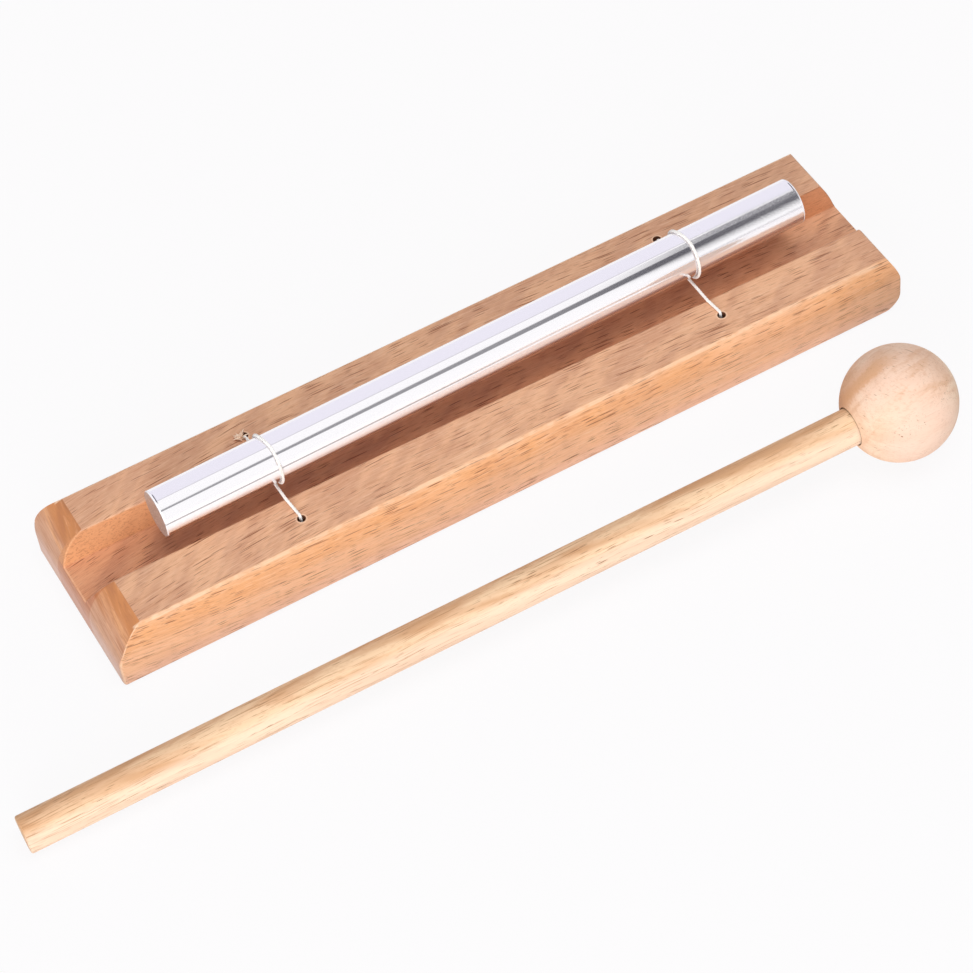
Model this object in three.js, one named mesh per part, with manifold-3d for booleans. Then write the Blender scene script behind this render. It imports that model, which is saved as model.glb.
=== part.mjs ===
// A solo chime bar: a metal rod slung on two cords over a channelled beech
// base, with the wooden ball mallet that lies in front of it.
//
// Millimetres, +Z up. The origin is the centre of the base's underside, +X runs
// along the rod, and the mallet lies on the -Y side. The base, the ball and the
// free end of the stick all stand on the plane z = 0.

import * as THREE from 'three';
import { mergeVertices } from 'three/addons/utils/BufferGeometryUtils.js';
import Module from 'manifold-3d';

const wasm = await Module();
wasm.setup();

// Base block
const baseLength = 189.2;
const baseWidth = 43;
const baseHeight = 14.2;
// Every top edge is rounded over. The left end has the fullest round-over,
// which reaches furthest down its face, and the right end is rounded at its
// foot as well.
const sideRoundRadius = 7.3;
const sideRoundDepth = 5.5;
const leftEndRoundRadius = 9.4;
const leftEndRoundDepth = 9.1;
const rightEndRoundRadius = 15;
const rightEndRoundDepth = 8.4;
// Upright flat between the right end's round-over and its rounded foot
const rightEndFlat = 0.3;
const leftCornerRadius = 1.2;
const rightCornerRadius = 0.8;
const footChamfer = 0.5;

// Channel along the top, a little out of line with the sides, with leaning
// walls and softened edges
const channelSideRoom = 2.5;
const channelDepth = 5.8;
const channelWallLean = THREE.MathUtils.degToRad(22);
const channelEdgeChamfer = 0.4;
const channelOffset = 0.3;
const channelSkew = THREE.MathUtils.degToRad(-0.65);

// Holes for the cords, one in each rail at each sling, with a wider
// counterbore underneath that hides the stopper knot
const cordHoleDiameter = 1.8;
const cordHoleOffset = 13.35;
const counterboreDiameter = 5.2;
const counterboreDepth = 4.6;

// Chime rod
const rodDiameter = 10.5;
const rodLength = 155.6;
const rodChamfer = 0.35;
const rodCentreX = 3.9;
const rodFromChannel = 0.5;
const rodYaw = THREE.MathUtils.degToRad(0.83);
// How far the rod hangs below where dead straight cords would carry it
const rodSag = 0.55;

// Cord slings: each cord makes one full turn round the rod
const cordDiameter = 0.7;
const slingSpacing = 101.6;
const slingCentreX = 3.2;
const cordClearance = 0.2;
const turnAdvance = 1.4;

// Stopper knots: the cord winds back up round itself
const knotRadius = 1.2;
const knotPitch = 1.2;
const knotTurns = 2;

// Mallet
const ballDiameter = 25;
const ballBoreDepth = 12;
const stickDiameter = 8.2;
const stickLength = 200;
const stickChamfer = 0.4;
const malletX = 72.5;
const malletY = -53.4;
const malletYaw = THREE.MathUtils.degToRad(-2.04);

// Fits and cuts
const clearance = 0.3;
const cutOverrun = 5;

// Facets
const arcSegments = 6;
const cornerSegments = 3;
const turnedSides = 48;
const ballRings = 24;
const holeSides = 24;
const cordSides = 8;
const turnSteps = 24;
const bendSteps = 4;

const sideRound = { radius: sideRoundRadius, depth: sideRoundDepth };
const leftEndRound = { radius: leftEndRoundRadius, depth: leftEndRoundDepth };
const rightEndRound = {
  radius: rightEndRoundRadius,
  depth: rightEndRoundDepth,
  footRadius: baseHeight - rightEndRoundDepth - rightEndFlat,
};
const rodRadius = rodDiameter / 2;
const cordRadius = cordDiameter / 2;
const ballRadius = ballDiameter / 2;
const stickRadius = stickDiameter / 2;
// Distance that the middle of a cord keeps from whatever it is laid round
const cordStandOff = cordRadius + cordClearance;
const wrapRadius = rodRadius + cordStandOff;
const rodCentreY = channelOffset + rodFromChannel;
const rodHeight = baseHeight + cordStandOff - rodSag + wrapRadius;
// Half widths of the channel at its floor, at the foot of its softened edges
// and at the top of the rails
const wallSlope = Math.tan(channelWallLean);
const channelMouthHalf = rodRadius + channelSideRoom - channelEdgeChamfer * wallSlope;
const channelFloorHalf = rodRadius + channelSideRoom - channelDepth * wallSlope;
const channelRimHalf = channelMouthHalf + channelEdgeChamfer;
// The left sling is at the lower X, the right one at the higher
const slingPlaces = { left: slingCentreX - slingSpacing / 2, right: slingCentreX + slingSpacing / 2 };

function toManifold(geometry) {
  const bare = geometry.index ? geometry.toNonIndexed() : geometry.clone();
  bare.deleteAttribute('normal');
  bare.deleteAttribute('uv');
  const merged = mergeVertices(bare);
  return new wasm.Manifold(new wasm.Mesh({
    numProp: 3,
    vertProperties: new Float32Array(merged.attributes.position.array),
    triVerts: new Uint32Array(merged.index.array),
  }));
}

function toGeometry(manifold) {
  const mesh = manifold.getMesh();
  const geometry = new THREE.BufferGeometry();
  geometry.setAttribute('position', new THREE.BufferAttribute(mesh.vertProperties, 3));
  geometry.setIndex(new THREE.BufferAttribute(mesh.triVerts, 1));
  geometry.computeVertexNormals();
  return geometry;
}

// Starts an outline with its lower corner on the positive side, rounded where
// that side has a rounded foot and chamfered elsewhere
function startAtHighFoot(outline, half, highRound) {
  if (highRound.footRadius) {
    const middle = half - highRound.footRadius;
    outline.absarc(middle, highRound.footRadius, highRound.footRadius, -Math.PI / 2, 0, false);
  } else {
    outline.moveTo(half - footChamfer, 0);
    outline.lineTo(half, footChamfer);
  }
}

// The base seen square to two opposite faces. Each round-over starts tangent to
// its upright face and meets the flat top at a slight crease.
function roundedOutline(width, lowRound, highRound) {
  const half = width / 2;
  const highCrease = Math.asin(highRound.depth / highRound.radius);
  const lowCrease = Math.asin(lowRound.depth / lowRound.radius);
  const outline = new THREE.Shape();
  startAtHighFoot(outline, half, highRound);
  outline.absarc(half - highRound.radius, baseHeight - highRound.depth, highRound.radius, 0, highCrease, false);
  outline.absarc(
    lowRound.radius - half,
    baseHeight - lowRound.depth,
    lowRound.radius,
    Math.PI - lowCrease,
    Math.PI,
    false,
  );
  outline.lineTo(-half, footChamfer);
  outline.lineTo(-half + footChamfer, 0);
  outline.closePath();
  return outline;
}

// The base seen from above
function planOutline() {
  const halfWidth = baseWidth / 2;
  const leftX = leftCornerRadius - baseLength / 2;
  const leftY = halfWidth - leftCornerRadius;
  const rightX = baseLength / 2 - rightCornerRadius;
  const rightY = halfWidth - rightCornerRadius;
  const quarter = Math.PI / 2;
  const outline = new THREE.Shape();
  outline.absarc(rightX, -rightY, rightCornerRadius, -quarter, 0, false);
  outline.absarc(rightX, rightY, rightCornerRadius, 0, quarter, false);
  outline.absarc(leftX, leftY, leftCornerRadius, quarter, 2 * quarter, false);
  outline.absarc(leftX, -leftY, leftCornerRadius, 2 * quarter, 3 * quarter, false);
  outline.closePath();
  return outline;
}

// Prism of an outline drawn in the YZ plane, centred along X
function prismAlongX(outline, length, curveSegments) {
  const prism = new THREE.ExtrudeGeometry(outline, { depth: length, bevelEnabled: false, curveSegments });
  prism.translate(0, 0, -length / 2);
  prism.rotateX(Math.PI / 2);
  prism.rotateZ(Math.PI / 2);
  return prism;
}

// Prism of an outline drawn in the XZ plane, centred along Y
function prismAlongY(outline, length, curveSegments) {
  const prism = prismAlongX(outline, length, curveSegments);
  prism.rotateZ(-Math.PI / 2);
  return prism;
}

// The blank is what the side section, the end section and the plan have in
// common, so the round-overs meet in curved mitres at the four corners.
function baseBlank() {
  const sideSection = roundedOutline(baseWidth, sideRound, sideRound);
  const endSection = roundedOutline(baseLength, leftEndRound, rightEndRound);
  const alongRod = toManifold(prismAlongX(sideSection, baseLength + cutOverrun, arcSegments));
  const acrossRod = toManifold(prismAlongY(endSection, baseWidth + cutOverrun, arcSegments));
  const plan = new THREE.ExtrudeGeometry(planOutline(), {
    depth: baseHeight + 2 * cutOverrun,
    bevelEnabled: false,
    curveSegments: cornerSegments,
  });
  plan.translate(0, 0, -cutOverrun);
  return alongRod.intersect(acrossRod).intersect(toManifold(plan));
}

// Flat floor, two leaning walls and the bevels that soften their top edges,
// which the cutter carries on above the rails
function channelCutter() {
  const floorZ = baseHeight - channelDepth;
  const mouthZ = baseHeight - channelEdgeChamfer;
  const topHalf = channelRimHalf + cutOverrun;
  const section = new THREE.Shape();
  section.moveTo(-channelFloorHalf, floorZ);
  section.lineTo(channelFloorHalf, floorZ);
  section.lineTo(channelMouthHalf, mouthZ);
  section.lineTo(topHalf, baseHeight + cutOverrun);
  section.lineTo(-topHalf, baseHeight + cutOverrun);
  section.lineTo(-channelMouthHalf, mouthZ);
  section.closePath();
  const cutter = prismAlongX(section, baseLength + 2 * cutOverrun, 1);
  cutter.rotateZ(channelSkew);
  cutter.translate(0, channelOffset, 0);
  return toManifold(cutter);
}

function verticalCylinder(diameter, bottom, top, x, y) {
  const cylinder = new THREE.CylinderGeometry(diameter / 2, diameter / 2, top - bottom, holeSides);
  cylinder.rotateX(Math.PI / 2);
  cylinder.translate(x, y, (top + bottom) / 2);
  return toManifold(cylinder);
}

function buildBase() {
  let block = baseBlank().subtract(channelCutter());
  for (const x of Object.values(slingPlaces)) {
    for (const y of [-cordHoleOffset, cordHoleOffset]) {
      block = block.subtract(verticalCylinder(cordHoleDiameter, -cutOverrun, baseHeight + cutOverrun, x, y));
      block = block.subtract(verticalCylinder(counterboreDiameter, -cutOverrun, counterboreDepth, x, y));
    }
  }
  return toGeometry(block);
}

// A turned bar about the Z axis with both rims chamfered
function turnedBar(radius, length, chamfer) {
  const half = length / 2;
  const profile = [
    new THREE.Vector2(0, -half),
    new THREE.Vector2(radius - chamfer, -half),
    new THREE.Vector2(radius, -half + chamfer),
    new THREE.Vector2(radius, half - chamfer),
    new THREE.Vector2(radius - chamfer, half),
    new THREE.Vector2(0, half),
  ];
  const bar = new THREE.LatheGeometry(profile, turnedSides);
  bar.rotateX(Math.PI / 2);
  return toGeometry(toManifold(bar));
}

// The middle of the rod at a place along the base, seen from the end
function rodAxisAt(x) {
  return { y: rodCentreY + (x - rodCentreX) * Math.tan(rodYaw), z: rodHeight };
}

// Points on an arc round a centre in the YZ plane, moving evenly from one X to
// another on the way
function pointsOnArc(centre, radius, fromAngle, toAngle, fromX, toX, steps) {
  const points = [];
  for (let i = 0; i <= steps; i += 1) {
    const share = i / steps;
    const angle = fromAngle + (toAngle - fromAngle) * share;
    points.push(new THREE.Vector3(
      fromX + (toX - fromX) * share,
      centre.y + radius * Math.cos(angle),
      centre.z + radius * Math.sin(angle),
    ));
  }
  return points;
}

// One side of a sling, from its cord hole at holeX to where it runs straight to
// the underside of the rod at turnX. side is -1 for the near rail and +1 for
// the far rail. The cord is taut: it rises in its hole against the side nearest
// the rod, turns over the rim, lies on the rail and turns over the channel's
// edge.
function leadToRod(holeX, turnX, side) {
  const rod = rodAxisAt(holeX);
  const rim = { y: side * (cordHoleOffset - cordHoleDiameter / 2), z: baseHeight };
  const edge = { y: channelOffset + holeX * Math.tan(channelSkew) + side * channelRimHalf, z: baseHeight };
  const across = Math.abs(rod.y - edge.y);
  const up = rod.z - edge.z;
  const slope = Math.asin((cordStandOff + wrapRadius) / Math.hypot(across, up)) - Math.atan2(up, across);
  const outward = side < 0 ? Math.PI : 0;
  const upright = Math.PI / 2;
  return {
    slope,
    points: [
      ...pointsOnArc(rim, cordStandOff, outward, upright, holeX, holeX, bendSteps),
      ...pointsOnArc(edge, cordStandOff, upright, upright + side * slope, turnX, turnX, bendSteps),
    ],
  };
}

// The stopper knot under a rail, from its tail to the cord rising in its hole.
// The tail lies just below the counterbore's ceiling, winds down round the
// standing part, and its foot curls in under the knot to become that part.
function knotRoute(x, y) {
  const top = counterboreDepth - cordStandOff;
  const foot = top - knotTurns * knotPitch;
  const points = [];
  const windingSteps = knotTurns * turnSteps;
  for (let i = 0; i < windingSteps; i += 1) {
    const turned = 2 * Math.PI * i / turnSteps;
    const z = top - knotPitch * i / turnSteps;
    points.push(new THREE.Vector3(x + knotRadius * Math.cos(turned), y + knotRadius * Math.sin(turned), z));
  }
  const footSteps = turnSteps / 2;
  const footDrop = knotPitch / 2;
  for (let i = 0; i < footSteps; i += 1) {
    const part = i / footSteps;
    const turned = Math.PI * part;
    const reach = knotRadius * Math.cos(turned / 2);
    const z = foot - footDrop * Math.sin(turned);
    points.push(new THREE.Vector3(x + reach * Math.cos(turned), y + reach * Math.sin(turned), z));
  }
  points.push(new THREE.Vector3(x, y, foot + knotPitch / 2));
  return points;
}

// The whole cord of one sling, from the tail of the knot under the near rail,
// once round the rod, to the tail of the knot under the far rail
function slingRoute(x) {
  const startX = x - turnAdvance / 2;
  const endX = x + turnAdvance / 2;
  const near = leadToRod(x, startX, -1);
  const far = leadToRod(x, endX, 1);
  const startAngle = -Math.PI / 2 - near.slope;
  const endAngle = Math.PI * 3 / 2 + far.slope;
  return [
    ...knotRoute(x, -cordHoleOffset),
    ...near.points,
    ...pointsOnArc(rodAxisAt(x), wrapRadius, startAngle, endAngle, startX, endX, turnSteps + bendSteps),
    ...far.points.reverse(),
    ...knotRoute(x, cordHoleOffset).reverse(),
  ];
}

// A path that takes the points of a route one by one, so that each point of
// the route becomes one ring of the cord
class CordPath extends THREE.Curve {
  constructor(route) {
    super();
    this.route = route;
    this.last = route.length - 1;
  }

  getPointAt(share) {
    return this.route[Math.round(share * this.last)].clone();
  }

  getTangentAt(share, target = new THREE.Vector3()) {
    const place = Math.round(share * this.last);
    const before = this.route[Math.max(place - 1, 0)];
    const after = this.route[Math.min(place + 1, this.last)];
    return target.subVectors(after, before).normalize();
  }
}

function cordAlong(route) {
  const section = new THREE.Shape();
  section.absarc(0, 0, cordRadius, 0, 2 * Math.PI, false);
  const path = new CordPath(route);
  const cord = new THREE.ExtrudeGeometry(section, {
    steps: path.last,
    extrudePath: path,
    curveSegments: cordSides / 2,
  });
  return toGeometry(toManifold(cord));
}

// Least gap between two stretches of a cord that are not next to each other
function leastSelfGap(route) {
  const travelled = [0];
  for (let i = 1; i < route.length; i += 1) {
    travelled.push(travelled[i - 1] + route[i].distanceTo(route[i - 1]));
  }
  const apartAlong = 4 * cordDiameter;
  let least = Infinity;
  for (let i = 0; i < route.length; i += 1) {
    for (let j = i + 1; j < route.length; j += 1) {
      if (travelled[j] - travelled[i] > apartAlong) {
        least = Math.min(least, route[i].distanceTo(route[j]) - cordDiameter);
      }
    }
  }
  return least;
}

// The ball is turned about the Z axis with its drilled mouth at the bottom
function buildBall() {
  const boreRadius = stickRadius + clearance;
  const mouthZ = -Math.sqrt(ballRadius ** 2 - boreRadius ** 2);
  const boreEndZ = -ballRadius + ballBoreDepth;
  const mouthAngle = Math.atan2(boreRadius, -mouthZ);
  const profile = [new THREE.Vector2(0, boreEndZ), new THREE.Vector2(boreRadius, boreEndZ)];
  for (let i = 0; i < ballRings; i += 1) {
    const angle = mouthAngle + (Math.PI - mouthAngle) * i / ballRings;
    profile.push(new THREE.Vector2(ballRadius * Math.sin(angle), -ballRadius * Math.cos(angle)));
  }
  profile.push(new THREE.Vector2(0, ballRadius));
  const ball = new THREE.LatheGeometry(profile, turnedSides);
  ball.rotateX(Math.PI / 2);
  return toGeometry(toManifold(ball));
}

function namedMesh(name, geometry, colour, roughness, metalness) {
  const material = new THREE.MeshStandardMaterial({ color: colour, roughness, metalness });
  const mesh = new THREE.Mesh(geometry, material);
  mesh.name = name;
  return mesh;
}

function buildRod() {
  const rod = namedMesh('chime_rod', turnedBar(rodRadius, rodLength, rodChamfer), 0xdcdce2, 0.2, 1);
  rod.position.set(rodCentreX, rodCentreY, rodHeight);
  rod.rotation.set(0, Math.PI / 2, rodYaw, 'ZYX');
  return rod;
}

function buildSling(name, x) {
  const route = slingRoute(x);
  const gap = leastSelfGap(route);
  const length = route.slice(1).reduce((sum, point, i) => sum + point.distanceTo(route[i]), 0);
  console.log(`${name}: cord ${length.toFixed(1)} mm long, least gap to itself ${gap.toFixed(2)} mm`);
  return namedMesh(name, cordAlong(route), 0xf3f0ec, 0.8, 0);
}

// The mallet leans: its ball and the far end of its stick both touch z = 0
function buildMallet() {
  const boreEnd = ballRadius - ballBoreDepth;
  const stickStart = boreEnd + clearance;
  const reach = stickStart + stickLength;
  const lean = Math.asin((ballRadius - stickRadius) / reach);
  const ball = namedMesh('mallet_ball', buildBall(), 0xf0c8a8, 0.55, 0);
  const stick = namedMesh('mallet_stick', turnedBar(stickRadius, stickLength, stickChamfer), 0xeec5a3, 0.6, 0);
  stick.position.z = -(stickStart + stickLength / 2);
  const axis = new THREE.Group();
  axis.rotation.y = Math.PI / 2 - lean;
  axis.add(ball, stick);
  const mallet = new THREE.Group();
  mallet.position.set(malletX, malletY, ballRadius);
  mallet.rotation.z = malletYaw;
  mallet.add(axis);
  return mallet;
}

const chimeBar = new THREE.Group();
chimeBar.name = 'chime_bar';
chimeBar.add(namedMesh('base_block', buildBase(), 0xe9b690, 0.55, 0));
chimeBar.add(buildRod());
for (const [side, x] of Object.entries(slingPlaces)) {
  chimeBar.add(buildSling(`sling_cord_${side}`, x));
}
chimeBar.add(buildMallet());

export default chimeBar;
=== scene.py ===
"""The looks of a chime bar: a polished rod slung on two cords over a channelled base, and its ball mallet.

Sizes are written in millimetres and angles in degrees, and both are turned into Blender's units where a
mesh is made. +X runs along the rod towards the mallet's ball, +Y away from the mallet and +Z up. The base,
the ball and the free end of the stick stand on z = 0.
"""

import logging
import math
from dataclasses import dataclass
from enum import Enum
from typing import Callable, ClassVar, Mapping, Sequence, Union

import bmesh
import bpy
from mathutils import Matrix, Vector


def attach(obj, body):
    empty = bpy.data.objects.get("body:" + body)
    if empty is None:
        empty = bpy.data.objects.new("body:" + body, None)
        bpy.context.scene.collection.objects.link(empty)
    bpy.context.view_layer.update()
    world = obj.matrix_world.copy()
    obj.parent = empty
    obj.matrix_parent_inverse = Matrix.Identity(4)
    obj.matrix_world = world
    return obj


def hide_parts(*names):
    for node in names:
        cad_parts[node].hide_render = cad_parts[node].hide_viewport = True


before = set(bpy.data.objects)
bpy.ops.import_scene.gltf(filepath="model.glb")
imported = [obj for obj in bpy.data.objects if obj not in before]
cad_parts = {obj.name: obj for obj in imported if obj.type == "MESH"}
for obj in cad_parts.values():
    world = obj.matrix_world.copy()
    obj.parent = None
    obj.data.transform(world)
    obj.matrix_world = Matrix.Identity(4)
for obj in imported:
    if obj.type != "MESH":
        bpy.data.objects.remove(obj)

log = logging.getLogger("chime_bar")

MM = 0.001
# Small lengths in millimetres, and an angle in degrees
CUT_TOLERANCE = 0.001
LEVEL_TOLERANCE = 0.01
MERGE_DISTANCE = 0.002
SMOOTH_BELOW = 28.0
FLAT_FACE_WEIGHT = 90

Colour = tuple[float, float, float]
Point = tuple[float, float, float]
Stray = tuple[float, float]


class Side(Enum):
    """The two rails of the base, by the sign of their Y."""

    NEAR = -1
    FAR = 1


class Slot(Enum):
    """The record's material slots."""

    BEECH = "beech"
    ALUMINIUM = "polished_aluminium"
    CORD = "white_cord"
    MALLET_WOOD = "mallet_wood"


def srgb(red: int, green: int, blue: int) -> Colour:
    """Turn a colour as it reads on a screen into the linear values that a shader takes.

    Args:
        red: Red, 0 to 255.
        green: Green, 0 to 255.
        blue: Blue, 0 to 255.

    Returns:
        The three linear values, 0 to 1.
    """
    shares = [channel / 255 for channel in (red, green, blue)]
    linear = [share / 12.92 if share <= 0.04045 else ((share + 0.055) / 1.055) ** 2.4 for share in shares]
    return (linear[0], linear[1], linear[2])


# Shader boards


class Signal:
    """A shader socket that adds Math nodes to its board when it is used in an expression."""

    def __init__(self, board: "Board", socket: bpy.types.NodeSocket | None) -> None:
        """Keep the socket and the board that it is on.

        Args:
            board: The board that new nodes go on.
            socket: The output socket.
        """
        self.board = board
        self.socket = socket

    def __add__(self, other: "Value") -> "Signal":
        """Add another value."""
        return self.board.maths("ADD", self, other)

    def __radd__(self, other: "Value") -> "Signal":
        """Be added to another value."""
        return self.board.maths("ADD", other, self)

    def __sub__(self, other: "Value") -> "Signal":
        """Take away another value."""
        return self.board.maths("SUBTRACT", self, other)

    def __rsub__(self, other: "Value") -> "Signal":
        """Be taken away from another value."""
        return self.board.maths("SUBTRACT", other, self)

    def __mul__(self, other: "Value") -> "Signal":
        """Multiply by another value."""
        return self.board.maths("MULTIPLY", self, other)

    def __rmul__(self, other: "Value") -> "Signal":
        """Be multiplied by another value."""
        return self.board.maths("MULTIPLY", other, self)

    def __truediv__(self, other: "Value") -> "Signal":
        """Divide by another value."""
        return self.board.maths("DIVIDE", self, other)

    def __abs__(self) -> "Signal":
        """Drop the sign."""
        return self.board.maths("ABSOLUTE", self)

    def __gt__(self, other: "Value") -> "Signal":
        """Be 1 where this is the greater, and 0 elsewhere."""
        return self.board.maths("GREATER_THAN", self, other)

    def __lt__(self, other: "Value") -> "Signal":
        """Be 1 where this is the lesser, and 0 elsewhere."""
        return self.board.maths("LESS_THAN", self, other)


Value = Union[Signal, float, int]
Input = Union[Signal, float, int, Sequence[float]]


@dataclass(frozen=True)
class Spot:
    """The place that a shader colours, whole and by its three axes, in millimetres."""

    place: Signal
    x: Signal
    y: Signal
    z: Signal


class Board:
    """The node tree of a material or of the world."""

    def __init__(self, tree: bpy.types.NodeTree) -> None:
        """Clear the tree for new nodes.

        Args:
            tree: The node tree to work on.
        """
        self.tree = tree
        self.tree.nodes.clear()

    def node(
        self,
        kind: str,
        settings: Mapping[str, object] | None = None,
        inputs: Mapping[str | int, Input] | None = None,
        output: str | int = 0,
    ) -> Signal:
        """Add a node, set it and plug it in.

        Args:
            kind: The node's type.
            settings: Its properties.
            inputs: Values or signals for its sockets, by name or by number.
            output: The socket that is handed back.

        Returns:
            The node's output. The output nodes have none, and theirs is empty.
        """
        made = self.tree.nodes.new(kind)
        for name, setting in (settings or {}).items():
            setattr(made, name, setting)
        for name, value in (inputs or {}).items():
            if isinstance(value, Signal):
                self.tree.links.new(value.socket, made.inputs[name])
            else:
                socket = made.inputs[name]
                socket.default_value = (*value, 1.0) if socket.type == "RGBA" and len(value) == 3 else value
        return Signal(self, made.outputs[output] if made.outputs else None)

    def maths(self, operation: str, first: Value, second: Value = 0.0) -> Signal:
        """Add one Math node.

        Args:
            operation: The Math node's operation.
            first: Its first value.
            second: Its second value.

        Returns:
            The result.
        """
        return self.node("ShaderNodeMath", {"operation": operation}, {0: first, 1: second})

    def greater(self, first: Value, second: Value) -> Signal:
        """Take the greater of two values."""
        return self.maths("MAXIMUM", first, second)

    def step(self, value: Value, low: float, high: float) -> Signal:
        """Pass smoothly from 0 to 1.

        Args:
            value: What drives the step.
            low: Where the result is 0. It may be the greater of the two.
            high: Where it is 1.

        Returns:
            The smooth step.
        """
        return self.node(
            "ShaderNodeMapRange",
            {"interpolation_type": "SMOOTHSTEP"},
            {"Value": value, "From Min": low, "From Max": high},
        )

    def band(self, value: Value, middle: float, half: float, soft: float) -> Signal:
        """Be 1 within a band and fall softly to 0 on both sides of it.

        Args:
            value: What is tested.
            middle: The middle of the band.
            half: Half of its width.
            soft: How far the fall reaches outside it.

        Returns:
            The band's mask.
        """
        away = abs(self.maths("SUBTRACT", value, middle))
        return self.step(away, half + soft, half)

    def mix(self, share: Value, first: Input, second: Input, blend: str = "MIX") -> Signal:
        """Mix two colours.

        Args:
            share: How much of the second there is.
            first: A linear colour or a signal.
            second: A linear colour or a signal.
            blend: The blend type.

        Returns:
            The mixed colour.
        """
        settings = {"data_type": "RGBA", "blend_type": blend, "clamp_factor": True}
        return self.node("ShaderNodeMix", settings, {0: share, 6: first, 7: second}, 2)

    def coats(self, ground: Input, *coats: tuple[Value, Input]) -> Signal:
        """Lay colours over one another.

        Args:
            ground: The colour at the bottom.
            coats: How much there is of each colour, and the colour, from the lowest to the top one.

        Returns:
            The mixed colour.
        """
        for share, colour in coats:
            ground = self.mix(share, ground, colour)
        return ground

    def root(self, value: Value) -> Signal:
        """Take the square root."""
        return self.maths("SQRT", value)

    def ramp(self, value: Value) -> Signal:
        """Hold a value between 0 and 1."""
        return self.node("ShaderNodeClamp", inputs={"Value": value})

    def millimetres(self, turn: Point = (0, 0, 0), centre: Point = (0, 0, 0)) -> Signal:
        """Read the place on the object in millimetres, in a frame of its own.

        Args:
            turn: How the frame is turned, in degrees.
            centre: Its origin, in millimetres.

        Returns:
            The place in that frame.
        """
        return self.node(
            "ShaderNodeMapping",
            {"vector_type": "TEXTURE"},
            {
                "Vector": self.node("ShaderNodeTexCoord", output="Object"),
                "Location": tuple(value * MM for value in centre),
                "Rotation": tuple(math.radians(value) for value in turn),
                "Scale": (MM, MM, MM),
            },
        )

    def cells(self, place: Signal, size: Point, turn: Point = (0, 0, 0)) -> Signal:
        """Measure a place in cells of a given size.

        Args:
            place: The place, in millimetres.
            size: The cell's three sizes, in millimetres.
            turn: How the cells are turned, in degrees.

        Returns:
            The place in cells.
        """
        return self.node(
            "ShaderNodeMapping",
            {"vector_type": "TEXTURE"},
            {"Vector": place, "Rotation": tuple(math.radians(value) for value in turn), "Scale": size},
        )

    def axes(self, vector: Signal) -> tuple[Signal, Signal, Signal]:
        """Split a vector into its three axes.

        Args:
            vector: The vector, or a colour.

        Returns:
            Its three values.
        """
        split = self.node("ShaderNodeSeparateXYZ", inputs={"Vector": vector})
        outputs = split.socket.node.outputs
        return (Signal(self, outputs[0]), Signal(self, outputs[1]), Signal(self, outputs[2]))

    def spot(self, place: Signal) -> Spot:
        """Keep a place together with its axes."""
        return Spot(place, *self.axes(place))

    def vector(self, x: Value, y: Value, z: Value) -> Signal:
        """Join three values into a vector."""
        return self.node("ShaderNodeCombineXYZ", inputs={0: x, 1: y, 2: z})

    def moved(self, vector: Signal, shift: Signal) -> Signal:
        """Add one vector to another."""
        return self.node("ShaderNodeVectorMath", {"operation": "ADD"}, {0: vector, 1: shift})

    def noise(
        self, cells: Signal, detail: float = 2.0, roughness: float = 0.5, swirl: float = 0.0
    ) -> Signal:
        """Make soft noise, about 0.5 on average, one lump to a cell.

        Args:
            cells: The place in cells.
            detail: How many times finer lumps are laid over the first ones.
            roughness: How strong the finer lumps are.
            swirl: How far the lumps are drawn about.

        Returns:
            The noise.
        """
        look = {"Detail": detail, "Roughness": roughness, "Distortion": swirl}
        return self.node("ShaderNodeTexNoise", inputs={"Vector": cells, "Scale": 1.0, **look})

    def flecks(self, cells: Signal, reach: float, share: float, softness: float = 0.35) -> Signal:
        """Scatter small lens-shaped marks, at most one to a cell.

        Args:
            cells: The place in cells.
            reach: The largest mark's radius, in cells.
            share: The share of the cells that hold a mark.
            softness: The share of a mark's radius over which it fades.

        Returns:
            The marks' mask.
        """
        points = self.node("ShaderNodeTexVoronoi", {"feature": "F1"}, {"Vector": cells, "Scale": 1.0})
        outputs = points.socket.node.outputs
        chance, size, strength = self.axes(Signal(self, outputs["Color"]))
        radius = (size * 0.6 + 0.4) * reach
        inside = self.step(Signal(self, outputs["Distance"]) / radius, 1.0, 1.0 - softness)
        return inside * (chance < share) * (strength * 0.5 + 0.5)

    def bump(self, height: Signal, depth: float) -> Signal:
        """Turn heights of 0 to 1 into a normal.

        Args:
            height: The heights.
            depth: What a height of 1 is, in millimetres.

        Returns:
            The bumped normal.
        """
        inputs = {"Height": height, "Distance": depth * MM, "Strength": 1.0}
        return self.node("ShaderNodeBump", inputs=inputs)

    def shader(self, inputs: Mapping[str, Input]) -> Signal:
        """Add a Principled shader."""
        return self.node("ShaderNodeBsdfPrincipled", inputs=inputs)

    def blend(self, share: Value, first: Signal, second: Signal) -> Signal:
        """Mix two shaders."""
        return self.node("ShaderNodeMixShader", inputs={0: share, 1: first, 2: second})


def new_material(name: str, draw: Callable[[Board], Signal]) -> bpy.types.Material:
    """Make a material from a function that draws its nodes.

    Args:
        name: The material's name.
        draw: Takes the empty board and hands back the shader.

    Returns:
        The material.
    """
    material = bpy.data.materials.new(name)
    material.use_nodes = True
    board = Board(material.node_tree)
    shader = draw(board)
    board.node("ShaderNodeOutputMaterial", inputs={"Surface": shader})
    return material


# Work on meshes


def deselect_all() -> None:
    """Leave edit mode and select nothing.

    Every operator that follows then works on its own piece alone.
    """
    if bpy.context.object is not None and bpy.context.object.mode != "OBJECT":
        bpy.ops.object.mode_set(mode="OBJECT")
    bpy.ops.object.select_all(action="DESELECT")


def take(piece: bpy.types.Object) -> None:
    """Select one object alone and make it active.

    Args:
        piece: The object.
    """
    deselect_all()
    piece.select_set(True)
    bpy.context.view_layer.objects.active = piece


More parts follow.
